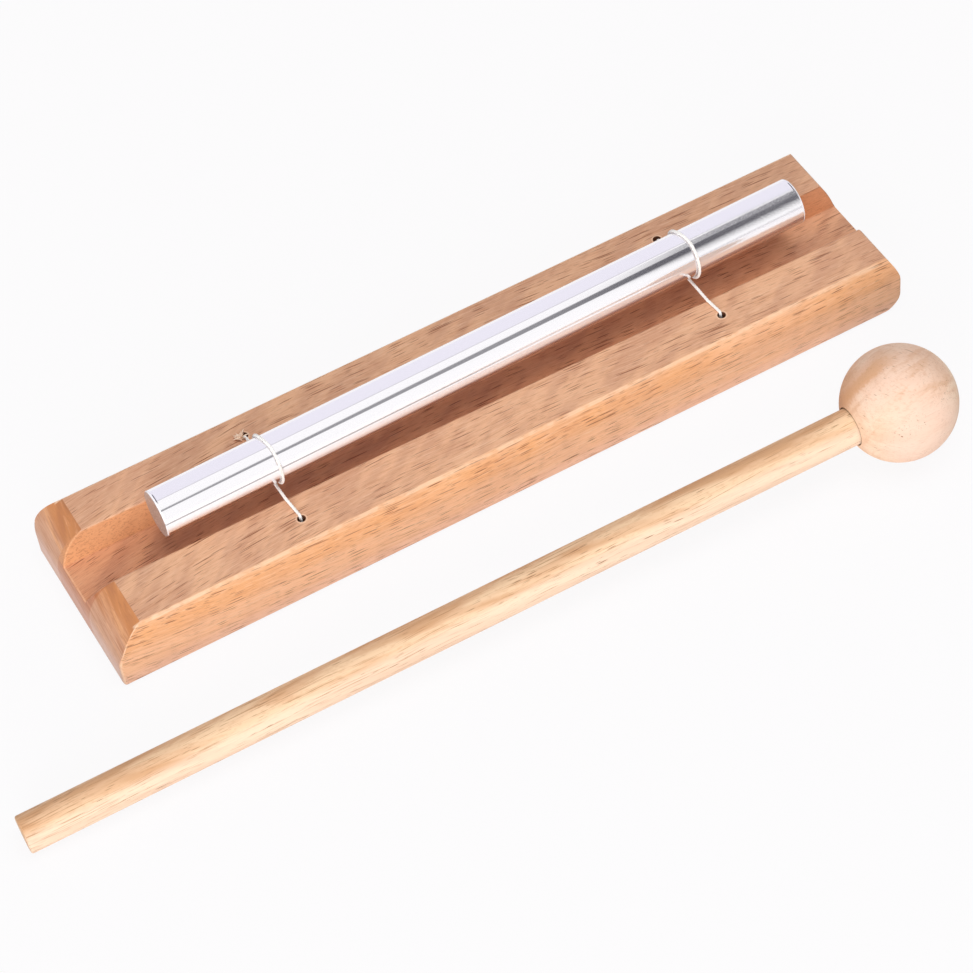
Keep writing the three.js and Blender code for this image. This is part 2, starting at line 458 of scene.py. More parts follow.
def settle(piece: bpy.types.Object) -> None:
    """Put a piece's place, turn and scale into its mesh.

    Args:
        piece: The piece.
    """
    take(piece)
    bpy.ops.object.transform_apply(location=True, rotation=True, scale=True)


def add_block(name: str, low: Point, high: Point) -> bpy.types.Object:
    """Add a block between two corners, in millimetres.

    Args:
        name: The object's name.
        low: Its lowest corner.
        high: Its highest corner.

    Returns:
        The block.
    """
    deselect_all()
    middle = [(a + b) / 2 * MM for a, b in zip(low, high)]
    spans = [(b - a) * MM for a, b in zip(low, high)]
    bpy.ops.mesh.primitive_cube_add(size=1, location=middle, scale=spans)
    block = bpy.context.object
    block.name = name
    settle(block)
    return block


def add_bar(name: str, radius: float, bottom: float, top: float, sides: int) -> bpy.types.Object:
    """Add an upright round bar on the Z axis, in millimetres.

    Args:
        name: The object's name.
        radius: Its radius.
        bottom: The height of its lower end.
        top: The height of its upper end.
        sides: How many sides it has.

    Returns:
        The bar.
    """
    deselect_all()
    middle = (0, 0, (top + bottom) / 2 * MM)
    bpy.ops.mesh.primitive_cylinder_add(
        vertices=sides, radius=radius * MM, depth=(top - bottom) * MM, location=middle
    )
    bar = bpy.context.object
    bar.name = name
    settle(bar)
    return bar


def turned(first: Vector, second: Vector, angle: float) -> Vector:
    """Turn one direction towards another that is at right angles to it.

    Args:
        first: The direction at an angle of 0.
        second: The direction at a quarter turn.
        angle: The angle, in radians.

    Returns:
        The turned direction.
    """
    return first * math.cos(angle) + second * math.sin(angle)


def plane_off(block: bpy.types.Object, point: Vector, normal: Vector) -> None:
    """Plane a block down to a flat cut, closing it again.

    Args:
        block: The block, which is active and in edit mode.
        point: A point of the cut, in millimetres.
        normal: The way that the waste lies.
    """
    bpy.ops.mesh.select_all(action="SELECT")
    bpy.ops.mesh.bisect(
        plane_co=point * MM, plane_no=normal, use_fill=True, clear_outer=True, threshold=CUT_TOLERANCE * MM
    )


def cut_away(body: bpy.types.Object, cutter: bpy.types.Object) -> None:
    """Cut a cutter's shape out of a body and throw the cutter away.

    Args:
        body: The body.
        cutter: The shape to take out.
    """
    take(body)
    cut = body.modifiers.new("cut", "BOOLEAN")
    cut.operation = "DIFFERENCE"
    cut.solver = "EXACT"
    cut.object = cutter
    bpy.ops.object.modifier_apply(modifier=cut.name)
    bpy.data.objects.remove(cutter, do_unlink=True)


def bevel_edges(
    piece: bpy.types.Object, chosen: Callable[[bmesh.types.BMEdge], bool], width: float, steps: int
) -> None:
    """Round the chosen edges of a piece.

    Args:
        piece: The piece.
        chosen: Says whether an edge is rounded.
        width: The width of the rounding, in millimetres.
        steps: How many faces round it.
    """
    take(piece)
    bpy.ops.object.mode_set(mode="EDIT")
    bpy.ops.mesh.select_mode(type="EDGE")
    bpy.ops.mesh.select_all(action="DESELECT")
    mesh = bmesh.from_edit_mesh(piece.data)
    for edge in mesh.edges:
        edge.select_set(chosen(edge))
    bmesh.update_edit_mesh(piece.data)
    bpy.ops.mesh.bevel(offset=width * MM, segments=steps, clamp_overlap=False)
    bpy.ops.mesh.select_mode(type="VERT")
    bpy.ops.object.mode_set(mode="OBJECT")


def is_rim(edge: bmesh.types.BMEdge) -> bool:
    """Say whether an edge of an upright bar runs round one of its ends.

    Args:
        edge: The edge.

    Returns:
        Whether both of its corners are at the same height.
    """
    low, high = (corner.co.z / MM for corner in edge.verts)
    return abs(low - high) < LEVEL_TOLERANCE


def tidy_mesh(piece: bpy.types.Object) -> None:
    """Merge doubled vertices and turn every face outwards.

    Args:
        piece: The piece.
    """
    take(piece)
    bpy.ops.object.mode_set(mode="EDIT")
    bpy.ops.mesh.select_all(action="SELECT")
    bpy.ops.mesh.remove_doubles(threshold=MERGE_DISTANCE * MM)
    bpy.ops.mesh.normals_make_consistent(inside=False)
    bpy.ops.object.mode_set(mode="OBJECT")


def finish_piece(
    piece: bpy.types.Object,
    material: bpy.types.Material,
    body: str,
    node: str = "",
    flat_faces: bool = False,
) -> None:
    """Smooth a piece, dress it and hand it to its body.

    Args:
        piece: The piece, with its place in its mesh.
        material: Its material.
        body: The body that it rides on.
        node: The CAD node that it stands for, if there is one.
        flat_faces: Whether its long and large faces are shaded flat, up to the narrow ones beside them.
    """
    take(piece)
    bpy.ops.object.shade_smooth_by_angle(angle=math.radians(SMOOTH_BELOW))
    if flat_faces:
        bpy.ops.object.modifier_add(type="WEIGHTED_NORMAL")
        weighted = piece.modifiers[-1]
        weighted.weight = FLAT_FACE_WEIGHT
        weighted.keep_sharp = True
        bpy.ops.object.modifier_apply(modifier=weighted.name)
    piece.data.materials.clear()
    piece.data.materials.append(material)
    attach(piece, body)
    if node:
        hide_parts(node)
    log.info("%s rides on %s, %d faces", piece.name, body, len(piece.data.polygons))


# Finishes


class Finish:
    """What the finishes share: each draws its own shader and gives its material its own name."""

    name: str

    def material(self) -> bpy.types.Material:
        """Make the material."""
        return new_material(self.name, self.draw)

    def draw(self, board: Board) -> Signal:
        """Draw the shader.

        Args:
            board: The empty board.

        Returns:
            The shader.
        """
        raise NotImplementedError


# The base


@dataclass(frozen=True)
class RoundOver:
    """A rounded top edge: an arc that starts tangent to the upright face and meets the top at a crease.

    The face's foot is eased or rounded as well.
    """

    radius: float
    depth: float
    foot_radius: float = 0.5
    foot_cuts: int = 3

    @property
    def crease_angle(self) -> float:
        """The tilt of the arc's last bit, in radians, 0 for upright."""
        return math.asin(self.depth / self.radius)

    @property
    def inset(self) -> float:
        """How far in from the upright face the crease lies."""
        return self.radius * (1 - math.cos(self.crease_angle))


@dataclass(frozen=True)
class BaseSizes:
    """The sizes of the base, in millimetres and degrees."""

    length: float = 189.2
    width: float = 43.0
    height: float = 14.2
    side_round: RoundOver = RoundOver(7.3, 5.5)
    left_end_round: RoundOver = RoundOver(9.4, 9.1)
    right_end_round: RoundOver = RoundOver(15.0, 8.4, 5.5, 16)
    arc_cuts: int = 16
    crease_easing: float = 0.5
    easing_cuts: int = 3
    left_corner: float = 1.2
    right_corner: float = 0.8
    corner_cuts: tuple[float, ...] = (10, 27, 45, 63, 80)
    channel_offset: float = 0.3
    channel_skew: float = -0.65
    channel_depth: float = 5.8
    channel_half_mouth: float = 7.75
    channel_wall_lean: float = 22.0
    channel_softening: float = 0.35
    slings_centre: float = 3.2
    sling_reach: float = 50.8
    hole_radius: float = 0.9
    hole_offset: float = 13.35
    counterbore_radius: float = 2.6
    counterbore_depth: float = 4.6

    @property
    def channel_floor(self) -> float:
        """The height of the channel's floor."""
        return self.height - self.channel_depth

    @property
    def side_crease(self) -> float:
        """How far from the middle a side's round-over meets the top."""
        return self.width / 2 - self.side_round.inset

    @property
    def sling_places(self) -> tuple[float, float]:
        """Where along the base the left and the right sling hang."""
        return (self.slings_centre - self.sling_reach, self.slings_centre + self.sling_reach)

    def channel_middle_at(self, x: Value) -> Value:
        """Find the Y of the skewed channel's middle at a place along the base."""
        return x * math.tan(math.radians(self.channel_skew)) + self.channel_offset


@dataclass(frozen=True)
class BeechFinish(Finish):
    """Lacquered beech: tan, with a fine lengthwise grain, soft slanting patches and thin dark flecks,
    painted highlights along its creases and painted shade in its channel and holes.
    """

    name: ClassVar[str] = "lacquered beech"
    base: BaseSizes
    tan: Colour = srgb(232, 180, 143)
    grey_tan: Colour = srgb(213, 161, 129)
    side_tan: Colour = srgb(244, 188, 145)
    orange: Colour = srgb(228, 165, 114)
    foot_pink: Colour = srgb(242, 195, 171)
    # Pale: the grain's pale streaks, and also the painted highlights on the creases and rims
    pale: Colour = srgb(248, 212, 180)
    end_brown: Colour = srgb(204, 136, 86)
    end_tan: Colour = srgb(210, 158, 127)
    end_pink: Colour = srgb(224, 182, 164)
    line_brown: Colour = srgb(184, 120, 80)
    fleck: Colour = srgb(128, 70, 38)
    wall_orange: Colour = srgb(226, 162, 112)
    # Painted shade inside the cord holes
    hole_shade: Colour = srgb(124, 78, 54)
    # The channel's multiplier: the cut wood's darker tone together with painted shade
    cut_tone_and_shade: Colour = (0.89, 0.73, 0.65)
    roughness: float = 0.42
    grain_depth: float = 0.03

    def draw(self, board: Board) -> Signal:
        """Draw the beech.

        Args:
            board: The empty board.

        Returns:
            The shader.
        """
        at = board.spot(board.millimetres())
        depth_in = at.x - self._left_end_at(board, at.z)
        off_end = board.step(depth_in, 0.03, 0.12)
        waved = self._waved(board, at)
        streaks = board.noise(board.cells(waved, (15, 0.38, 0.42)), 3.0, 0.65, 0.25)
        fine = board.noise(board.cells(waved, (3.4, 0.2, 0.22)), 3.0, 0.7)
        marks = self._marks(board, waved) * off_end
        colour = board.coats(
            self._ground(board, at, waved),
            (board.step(streaks, 0.54, 0.68) * off_end * 0.34, self.line_brown),
            (board.step(streaks, 0.46, 0.32) * off_end * 0.26, self.pale),
            (board.step(fine, 0.54, 0.66) * off_end * 0.4, self.line_brown),
            (board.step(fine, 0.46, 0.34) * off_end * 0.26, self.pale),
            (marks * 0.95, self.fleck),
        )
        colour = board.mix(off_end, self._left_end(board, at), colour)
        # Painted highlights: pale lines along the creases and round the left end
        colour = board.mix(self._painted_edge_highlights(board, at, depth_in), colour, self.pale)
        colour = self._routed_channel(board, at, colour)
        dull = board.noise(board.cells(at.place, (9, 5, 5)), 2.0)
        height = fine * 0.5 + streaks * 0.3 - marks * 0.8
        return board.shader(
            {
                "Base Color": self._holes(board, at, colour),
                "Roughness": (dull - 0.5) * 0.2 + (self.roughness + marks * 0.2),
                "Normal": board.bump(height, self.grain_depth),
                "Specular IOR Level": 0.4,
            }
        )

    def _left_end_at(self, board: Board, z: Signal) -> Signal:
        """Find the X of the left end's rounded face at a height.

        Args:
            board: The board.
            z: The height, in millimetres.

        Returns:
            The X, in millimetres.
        """
        rounding = self.base.left_end_round
        above = board.greater(z - (self.base.height - rounding.depth), 0.0)
        return (rounding.radius - self.base.length / 2) - board.root(rounding.radius**2 - above * above)

    def _waved(self, board: Board, at: Spot) -> Signal:
        """Shift the place along the grain.

        The grain climbs across the rails at the left and falls a little at the right. On the long sides it
        runs down towards the left end instead.

        Args:
            board: The board.
            at: The place.

        Returns:
            The shifted place.
        """
        on_side = abs(at.y) > self.base.side_crease - 0.05
        wander = board.noise(board.cells(at.place, (30, 14, 14)), 1.0) - 0.5
        left = board.greater(-20 - at.x, 0.0)
        right = board.greater(at.x - 5, 0.0)
        climb = (left * left * -0.0012 - right * 0.04 + wander * 2.4) * (1 - on_side)
        fall = (left * left * 0.0009 + wander * 1.6) * on_side
        return board.moved(at.place, board.vector(0.0, 0.0 - climb, 0.0 - fall))

    def _ground(self, board: Board, at: Spot, waved: Signal) -> Signal:
        """Lay the broad colours that the streaks and flecks go over.

        Args:
            board: The board.
            at: The place.
            waved: The place, shifted along the wavy grain.

        Returns:
            The broad colour.
        """
        base = self.base
        patches = board.noise(board.cells(waved, (15, 4.2, 9), (0, 0, 38)), 2.0, 0.5)
        broad = board.noise(board.cells(waved, (40, 9, 9), (0, 0, 8)), 1.0)
        top = board.mix(board.step(patches * 0.65 + broad * 0.35, 0.4, 0.6), self.grey_tan, self.tan)
        side = board.coats(
            self.side_tan,
            (board.step(at.z, 4.5, 0.5) * 0.8, self.foot_pink),
            (board.step(at.z, 7.0, 10.8) * board.step(broad, 0.2, 0.5) * 0.9, self.orange),
            # A painted highlight pales the side just under its crease
            (board.step(at.z, base.height - 1.6, base.height - 0.4) * 0.2, self.pale),
        )
        on_side = board.step(abs(at.y), base.side_crease - 0.4, base.side_crease + 0.3)
        return board.mix(on_side * (board.step(patches, 0.3, 0.7) * 0.3 + 0.7), top, side)

    def _marks(self, board: Board, waved: Signal) -> Signal:
        """Scatter the thin dark flecks.

        Args:
            board: The board.
            waved: The place, shifted along the wavy grain.

        Returns:
            The flecks' mask.
        """
        slits = board.flecks(board.cells(waved, (5.2, 0.3, 0.3)), 0.46, 0.36, 0.45)
        dashes = board.flecks(board.cells(waved, (3.0, 0.22, 0.24), (0, 0, 2)), 0.46, 0.4, 0.5)
        long_slits = board.flecks(board.cells(waved, (10, 0.34, 0.34), (0, 0, -1.5)), 0.46, 0.24, 0.45)
        return board.greater(board.greater(slits, long_slits), dashes * 0.5)

    def _left_end(self, board: Board, at: Spot) -> Signal:
        """Colour the left end, where the layers of the wood run level and darken towards the top.

        Args:
            board: The board.
            at: The place.

        Returns:
            The end's colour.
        """
        layers = board.noise(board.cells(at.place, (30, 9, 0.42), (4, 0, 0)), 3.0, 0.65, 0.4)
        bands = board.noise(board.cells(at.place, (30, 20, 1.5), (7, 0, 0)), 1.0)
        pores = board.noise(board.cells(at.place, (0.6, 2.2, 0.16)), 2.0, 0.6)
        high_up = board.step(at.z, 7, 11)
        return board.coats(
            self.end_pink,
            (board.step(at.z, 3.0, 9.0), self.end_tan),
            (board.step(at.z + (bands - 0.5) * 5, 10.2, 13.4), self.end_brown),
            (board.step(bands, 0.52, 0.66) * high_up * 0.5, self.line_brown),
            (board.step(bands, 0.44, 0.3) * high_up * 0.6, self.orange),
            (board.step(layers, 0.5, 0.66) * 0.55, self.line_brown),
            (board.step(layers, 0.46, 0.3) * 0.4, self.side_tan),
            (board.step(pores, 0.52, 0.7) * 0.45, self.line_brown),
        )

    def _painted_edge_highlights(self, board: Board, at: Spot, depth_in: Signal) -> Signal:
        """Find the painted highlights: pale lines along the creases and round the left end.

        Args:
            board: The board.
            at: The place.
            depth_in: How far the place is from the left end's face.

        Returns:
            The lines' mask.
        """
        base = self.base
        uneven = board.noise(board.cells(at.place, (3.5, 2.5, 2.5)), 2.0, 0.6)
        under_top = board.step(at.z, base.height - 0.2, base.height - 0.7)
        rim = board.band(depth_in, 0.28, 0.1, 0.16) * under_top
        on_side = board.step(abs(at.y), base.side_crease - 0.12, base.side_crease + 0.06)
        crease = board.band(at.z, base.height - 0.28, 0.16, 0.3) * on_side
        on_left = board.step(at.x, -60, -80)
        return board.greater(rim * 0.75, crease * (on_left * 0.2 + 0.5)) * board.step(uneven, 0.28, 0.6)

    def _routed_channel(self, board: Board, at: Spot, colour: Signal) -> Signal:
        """Darken the routed channel: partly the cut wood's own darker tone, partly painted shade and
        painted warm bounce light of the deep channel under the rod.

        Args:
            board: The board.
            at: The place.
            colour: The colour before.

        Returns:
            The darkened colour.
        """
        base = self.base
        across = abs(at.y - base.channel_middle_at(at.x))
        between_walls = board.step(across, base.channel_half_mouth + 0.3, base.channel_half_mouth)
        in_channel = between_walls * board.step(at.z, base.height - 0.05, base.height - 0.3)
        on_wall = board.step(at.z, base.channel_floor + 0.1, base.channel_floor + 0.5)
        on_far_wall = on_wall * in_channel * (at.y > 0)
        # The floor past the rod's right end takes less of the painted shade
        floor_past_rod = board.step(at.x, 68, 84) * (1 - on_wall) * 0.6
        near_ends = board.greater(board.step(at.x, 10, -60), board.step(at.x, 62, 84) * 0.5)
        torn = board.noise(board.cells(at.place, (0.7, 0.35, 0.35)), 2.0, 0.7)
        # Painted shade over the cut wood's tone: the channel is multiplied darker, and the far wall at the
        # right end once more
        for share in (in_channel * (1 - floor_past_rod), on_far_wall * board.step(at.x, 55, 75)):
            colour = board.mix(share, colour, self.cut_tone_and_shade, "MULTIPLY")
        return board.coats(
            colour,
            (on_far_wall * near_ends * 0.6, self.wall_orange),
            (on_far_wall * board.step(torn, 0.52, 0.66) * 0.6, self.line_brown),
        )

    def _holes(self, board: Board, at: Spot, colour: Signal) -> Signal:
        """Paint shade into the cord holes and a pale highlight round their rims.

        Args:
            board: The board.
            at: The place.
            colour: The colour before.

        Returns:
            The colour with the holes.
        """
        base = self.base
        along = abs(at.x - base.slings_centre) - base.sling_reach
        across = abs(at.y) - base.hole_offset
        from_axis = board.root(along * along + across * across)
        on_top = board.step(at.z, base.height - 0.15, base.height - 0.05)
        rim = board.band(from_axis, base.hole_radius + 0.2, 0.1, 0.15) * on_top
        in_hole = board.step(from_axis, base.hole_radius + 0.08, base.hole_radius + 0.02)
        # Painted shade inside the holes, and a painted pale highlight round their rims
        return board.coats(colour, (rim * 0.5, self.pale), (in_hole, self.hole_shade))


@dataclass
class ChannelledBase:
    """The beech block, with its channel, its four cord holes and the counterbores under them."""

    sizes: BaseSizes = BaseSizes()
    overrun: float = 5.0
    wall_tolerance: float = 0.002
    clear_of_floor: float = 0.5
    hole_sides: int = 32
    counterbore_sides: int = 40

    def build(self) -> bpy.types.Object:
        """Model the block and dress it.

        Returns:
            The finished block.
        """
        block = self._planed_blank()
        cut_away(block, self._channel_cutter())
        self._soften_channel(block)
        self._drill(block)
        tidy_mesh(block)
        material = BeechFinish(self.sizes).material()
        finish_piece(block, material, "base", "base_block", flat_faces=True)
        return block

    def _planed_blank(self) -> bpy.types.Object:
        """Plane a plain block down to the rounded-over blank, whose corners meet in mitres.

        Returns:
            The blank.
        """
        sizes = self.sizes
        half_length, half_width = sizes.length / 2, sizes.width / 2
        block = add_block(
            "base_block_beech", (-half_length, -half_width, 0.0), (half_length, half_width, sizes.height)
        )
        take(block)
        bpy.ops.object.mode_set(mode="EDIT")
        for outward, reach, rounding in (
            (Vector((0, -1, 0)), half_width, sizes.side_round),
            (Vector((0, 1, 0)), half_width, sizes.side_round),
            (Vector((-1, 0, 0)), half_length, sizes.left_end_round),
            (Vector((1, 0, 0)), half_length, sizes.right_end_round),
        ):
            self._plane_edge(block, outward, reach, rounding)
        for side_x in (-1, 1):
            for side_y in (-1, 1):
                self._plane_corner(block, side_x, side_y)
        bpy.ops.object.mode_set(mode="OBJECT")
        return block

    def _plane_edge(
        self, block: bpy.types.Object, outward: Vector, reach: float, rounding: RoundOver
    ) -> None:
        """Round one top edge and ease its foot.

        Args:
            block: The block, in edit mode.
            outward: The way that the edge's face looks.
            reach: How far that face is from the middle.
            rounding: The edge's round-over.
        """
        sizes = self.sizes
        up = Vector((0, 0, 1))
        last = rounding.crease_angle
        centre = outward * (reach - rounding.radius) + up * (sizes.height - rounding.depth)
        angles = [last * (cut - 0.5) / sizes.arc_cuts for cut in range(1, sizes.arc_cuts + 1)]
        self._plane_arc(block, centre, rounding.radius, (outward, up), angles)
        slanted = turned(outward, up, last)
        crease = centre + slanted * rounding.radius
        easing_centre = crease - (slanted + up) * (sizes.crease_easing / (1 + slanted.dot(up)))
        shares = [cut / (sizes.easing_cuts + 1) for cut in range(1, sizes.easing_cuts + 1)]
        angles = [last + (math.pi / 2 - last) * share for share in shares]
        self._plane_arc(block, easing_centre, sizes.crease_easing, (outward, up), angles)
        foot_centre = outward * (reach - rounding.foot_radius) + up * rounding.foot_radius
        angles = [math.pi / 2 * cut / (rounding.foot_cuts + 1) for cut in range(1, rounding.foot_cuts + 1)]
        self._plane_arc(block, foot_centre, rounding.foot_radius, (outward, -up), angles)

    @staticmethod
    def _plane_arc(
        block: bpy.types.Object,
        centre: Vector,
        radius: float,
        quarter: tuple[Vector, Vector],
        angles: Sequence[float],
    ) -> None:
        """Plane an arc by one flat cut for each angle.

        Args:
            block: The block, in edit mode.
            centre: The arc's centre, in millimetres.
            radius: The arc's radius.
            quarter: The ways that the arc looks at an angle of 0 and at a quarter turn.
            angles: The cuts' angles, in radians.
        """
        for angle in angles:
            normal = turned(*quarter, angle)
            plane_off(block, centre + normal * radius, normal)

    def _plane_corner(self, block: bpy.types.Object, side_x: int, side_y: int) -> None:
        """Round one upright corner.

        Args:
            block: The block, in edit mode.
            side_x: -1 for a left corner, 1 for a right one.
            side_y: -1 for a near corner, 1 for a far one.
        """
        sizes = self.sizes
        radius = sizes.left_corner if side_x < 0 else sizes.right_corner
        centre = Vector((side_x * (sizes.length / 2 - radius), side_y * (sizes.width / 2 - radius), 0))
        quarter = (Vector((side_x, 0, 0)), Vector((0, side_y, 0)))
        self._plane_arc(block, centre, radius, quarter, [math.radians(cut) for cut in sizes.corner_cuts])

    def _channel_cutter(self) -> bpy.types.Object:
        """Shape the cutter of the channel, with its flat floor and leaning walls.

        Returns:
            The cutter.
        """
        sizes = self.sizes
        half_length = sizes.length / 2 + self.overrun
        lean = math.radians(sizes.channel_wall_lean)
        half_top = sizes.channel_half_mouth + self.overrun * math.tan(lean)
        cutter = add_block(
            "channel cutter",
            (-half_length, -half_top, sizes.channel_floor),
            (half_length, half_top, sizes.height + self.overrun),
        )
        take(cutter)
        bpy.ops.object.mode_set(mode="EDIT")
        for side in Side:
            mouth = Vector((0, side.value * sizes.channel_half_mouth, sizes.height))
            plane_off(cutter, mouth, turned(Vector((0, side.value, 0)), Vector((0, 0, -1)), lean))
        bpy.ops.object.mode_set(mode="OBJECT")
        cutter.rotation_euler.z = math.radians(sizes.channel_skew)
        cutter.location.y = sizes.channel_offset * MM
        settle(cutter)
        return cutter

    def _soften_channel(self, block: bpy.types.Object) -> None:
        """Take the sharpness off the channel's two long top edges.

        Args:
            block: The block, with its channel cut.
        """
        sizes = self.sizes
        lean = math.radians(sizes.channel_wall_lean)
        turn = Matrix.Rotation(math.radians(-sizes.channel_skew), 3, "Z")
        shift = Vector((0, sizes.channel_offset, 0))
        above_floor = sizes.channel_floor + self.clear_of_floor

        def is_high_on_wall(corner: bmesh.types.BMVert) -> bool:
            """Say whether a corner lies on a leaning wall, well above the channel's floor.

            Args:
                corner: The corner.

            Returns:
                Whether it does.
            """
            place = turn @ (corner.co / MM - shift)
            wall = sizes.channel_half_mouth - (sizes.height - place.z) * math.tan(lean)
            return abs(abs(place.y) - wall) < self.wall_tolerance and place.z > above_floor

        def is_mouth_edge(edge: bmesh.types.BMEdge) -> bool:
            """Say whether both ends of an edge are high on a wall."""
            return all(is_high_on_wall(corner) for corner in edge.verts)

        bevel_edges(block, is_mouth_edge, sizes.channel_softening, 3)

    def _drill(self, block: bpy.types.Object) -> None:
        """Drill the cord holes, and the counterbores under them.

        Args:
            block: The block.
        """
        sizes = self.sizes
        top = sizes.height + self.overrun
        depth = sizes.counterbore_depth
        drills = (
            ("hole drill", sizes.hole_radius, top, self.hole_sides),
            ("counterbore drill", sizes.counterbore_radius, depth, self.counterbore_sides),
        )
        for x in sizes.sling_places:
            for side in Side:
                for name, radius, reach, sides in drills:
                    drill = add_bar(name, radius, -self.overrun, reach, sides)
                    drill.location = (x * MM, side.value * sizes.hole_offset * MM, 0)
                    settle(drill)
                    cut_away(block, drill)


@dataclass(frozen=True)
class TornFibreFinish(Finish):
    """Pale raw fibres of the wood, where a drill broke out."""

    name: ClassVar[str] = "torn beech fibres"
    cream: Colour = srgb(255, 234, 212)
    straw: Colour = srgb(228, 180, 146)

    def draw(self, board: Board) -> Signal:
        """Draw the fibres.

        Args:
            board: The empty board.

        Returns:
            The shader.
        """
        strands = board.noise(board.cells(board.millimetres(), (0.5, 0.12, 0.12)), 2.0, 0.6)
        return board.shader(
            {
                "Base Color": board.mix(board.step(strands, 0.4, 0.65), self.cream, self.straw),
                "Roughness": strands * 0.2 + 0.7,
                "Normal": board.bump(strands, 0.02),
            }
        )


@dataclass
class TornFibres:
    """A little tuft of splinters, left standing beside one cord hole."""

    base: BaseSizes
    beside_hole: float = 0.9
    above_top: float = 0.02
    count: int = 18
    length: float = 1.6
    root: float = 0.2
    width: float = 0.34
    thickness: float = 0.14
    tip_height: float = 0.4
    side_taper: float = 0.24
    top_taper: float = 0.1
    spread: float = 0.75
    turn_between: float = 137.5

    @property
    def centre(self) -> Vector:
        """The tuft's middle, beside the left sling's far hole."""
        x = self.base.sling_places[0] - self.beside_hole
        return Vector((x, self.base.hole_offset, self.base.height + self.above_top))

    def build(self) -> bpy.types.Object:
        """Model the tuft and dress it.

        Returns:
            The finished tuft.
        """
        splinters = [self._splinter(number) for number in range(self.count)]
        take(splinters[0])
        for splinter in splinters:
            splinter.select_set(True)
        bpy.ops.object.join()
        tuft = bpy.context.view_layer.objects.active
        tuft.name = "torn_fibres"
        finish_piece(tuft, TornFibreFinish().material(), "base")
        return tuft

    def _splinter(self, number: int) -> bpy.types.Object:
        """Split off one pointed splinter that leans outwards.

        Args:
            number: Its number, which sets its way and its length.

        Returns:
            The splinter.
        """
        length = self.length * (0.7 + 0.3 * math.sin(number * 2.1))
        half = self.width / 2
        splinter = add_block("splinter", (-self.root, -half, 0.0), (length, half, self.thickness))
        take(splinter)
        bpy.ops.object.mode_set(mode="EDIT")
        for side in Side:
            slant = Vector((self.side_taper, side.value, 0)).normalized()
            plane_off(splinter, Vector((length, 0.0, 0.0)), slant)
        tip = Vector((length, 0, self.thickness * self.tip_height))
        plane_off(splinter, tip, Vector((self.top_taper, 0, 1)).normalized())
        bpy.ops.object.mode_set(mode="OBJECT")
        way = number * math.radians(self.turn_between)
        out = self.spread * math.sqrt(number / self.count)
        roll = 0.3 * math.sin(number)
        rise = 0.25 + 0.5 * math.cos(number * 1.3) ** 2
        splinter.rotation_euler = (roll, -rise, way)
        splinter.location = (self.centre + Vector((math.cos(way) * out, math.sin(way) * out, 0.0))) * MM
        settle(splinter)
        return splinter


# The rod


@dataclass(frozen=True)
class RodSizes:
    """The rod's sizes and place, in millimetres and degrees."""

    radius: float = 5.25
    length: float = 155.6
    rim_rounding: float = 0.35
    rim_steps: int = 4
    centre_x: float = 3.9
    centre_y: float = 0.8
    height: float = 20.0
    yaw: float = 0.83
    sides: int = 160

    def axis_at(self, x: float) -> Vector:
        """Find the rod's middle at a place along the base."""
        y = self.centre_y + (x - self.centre_x) * math.tan(math.radians(self.yaw))
        return Vector((x, y, self.height))


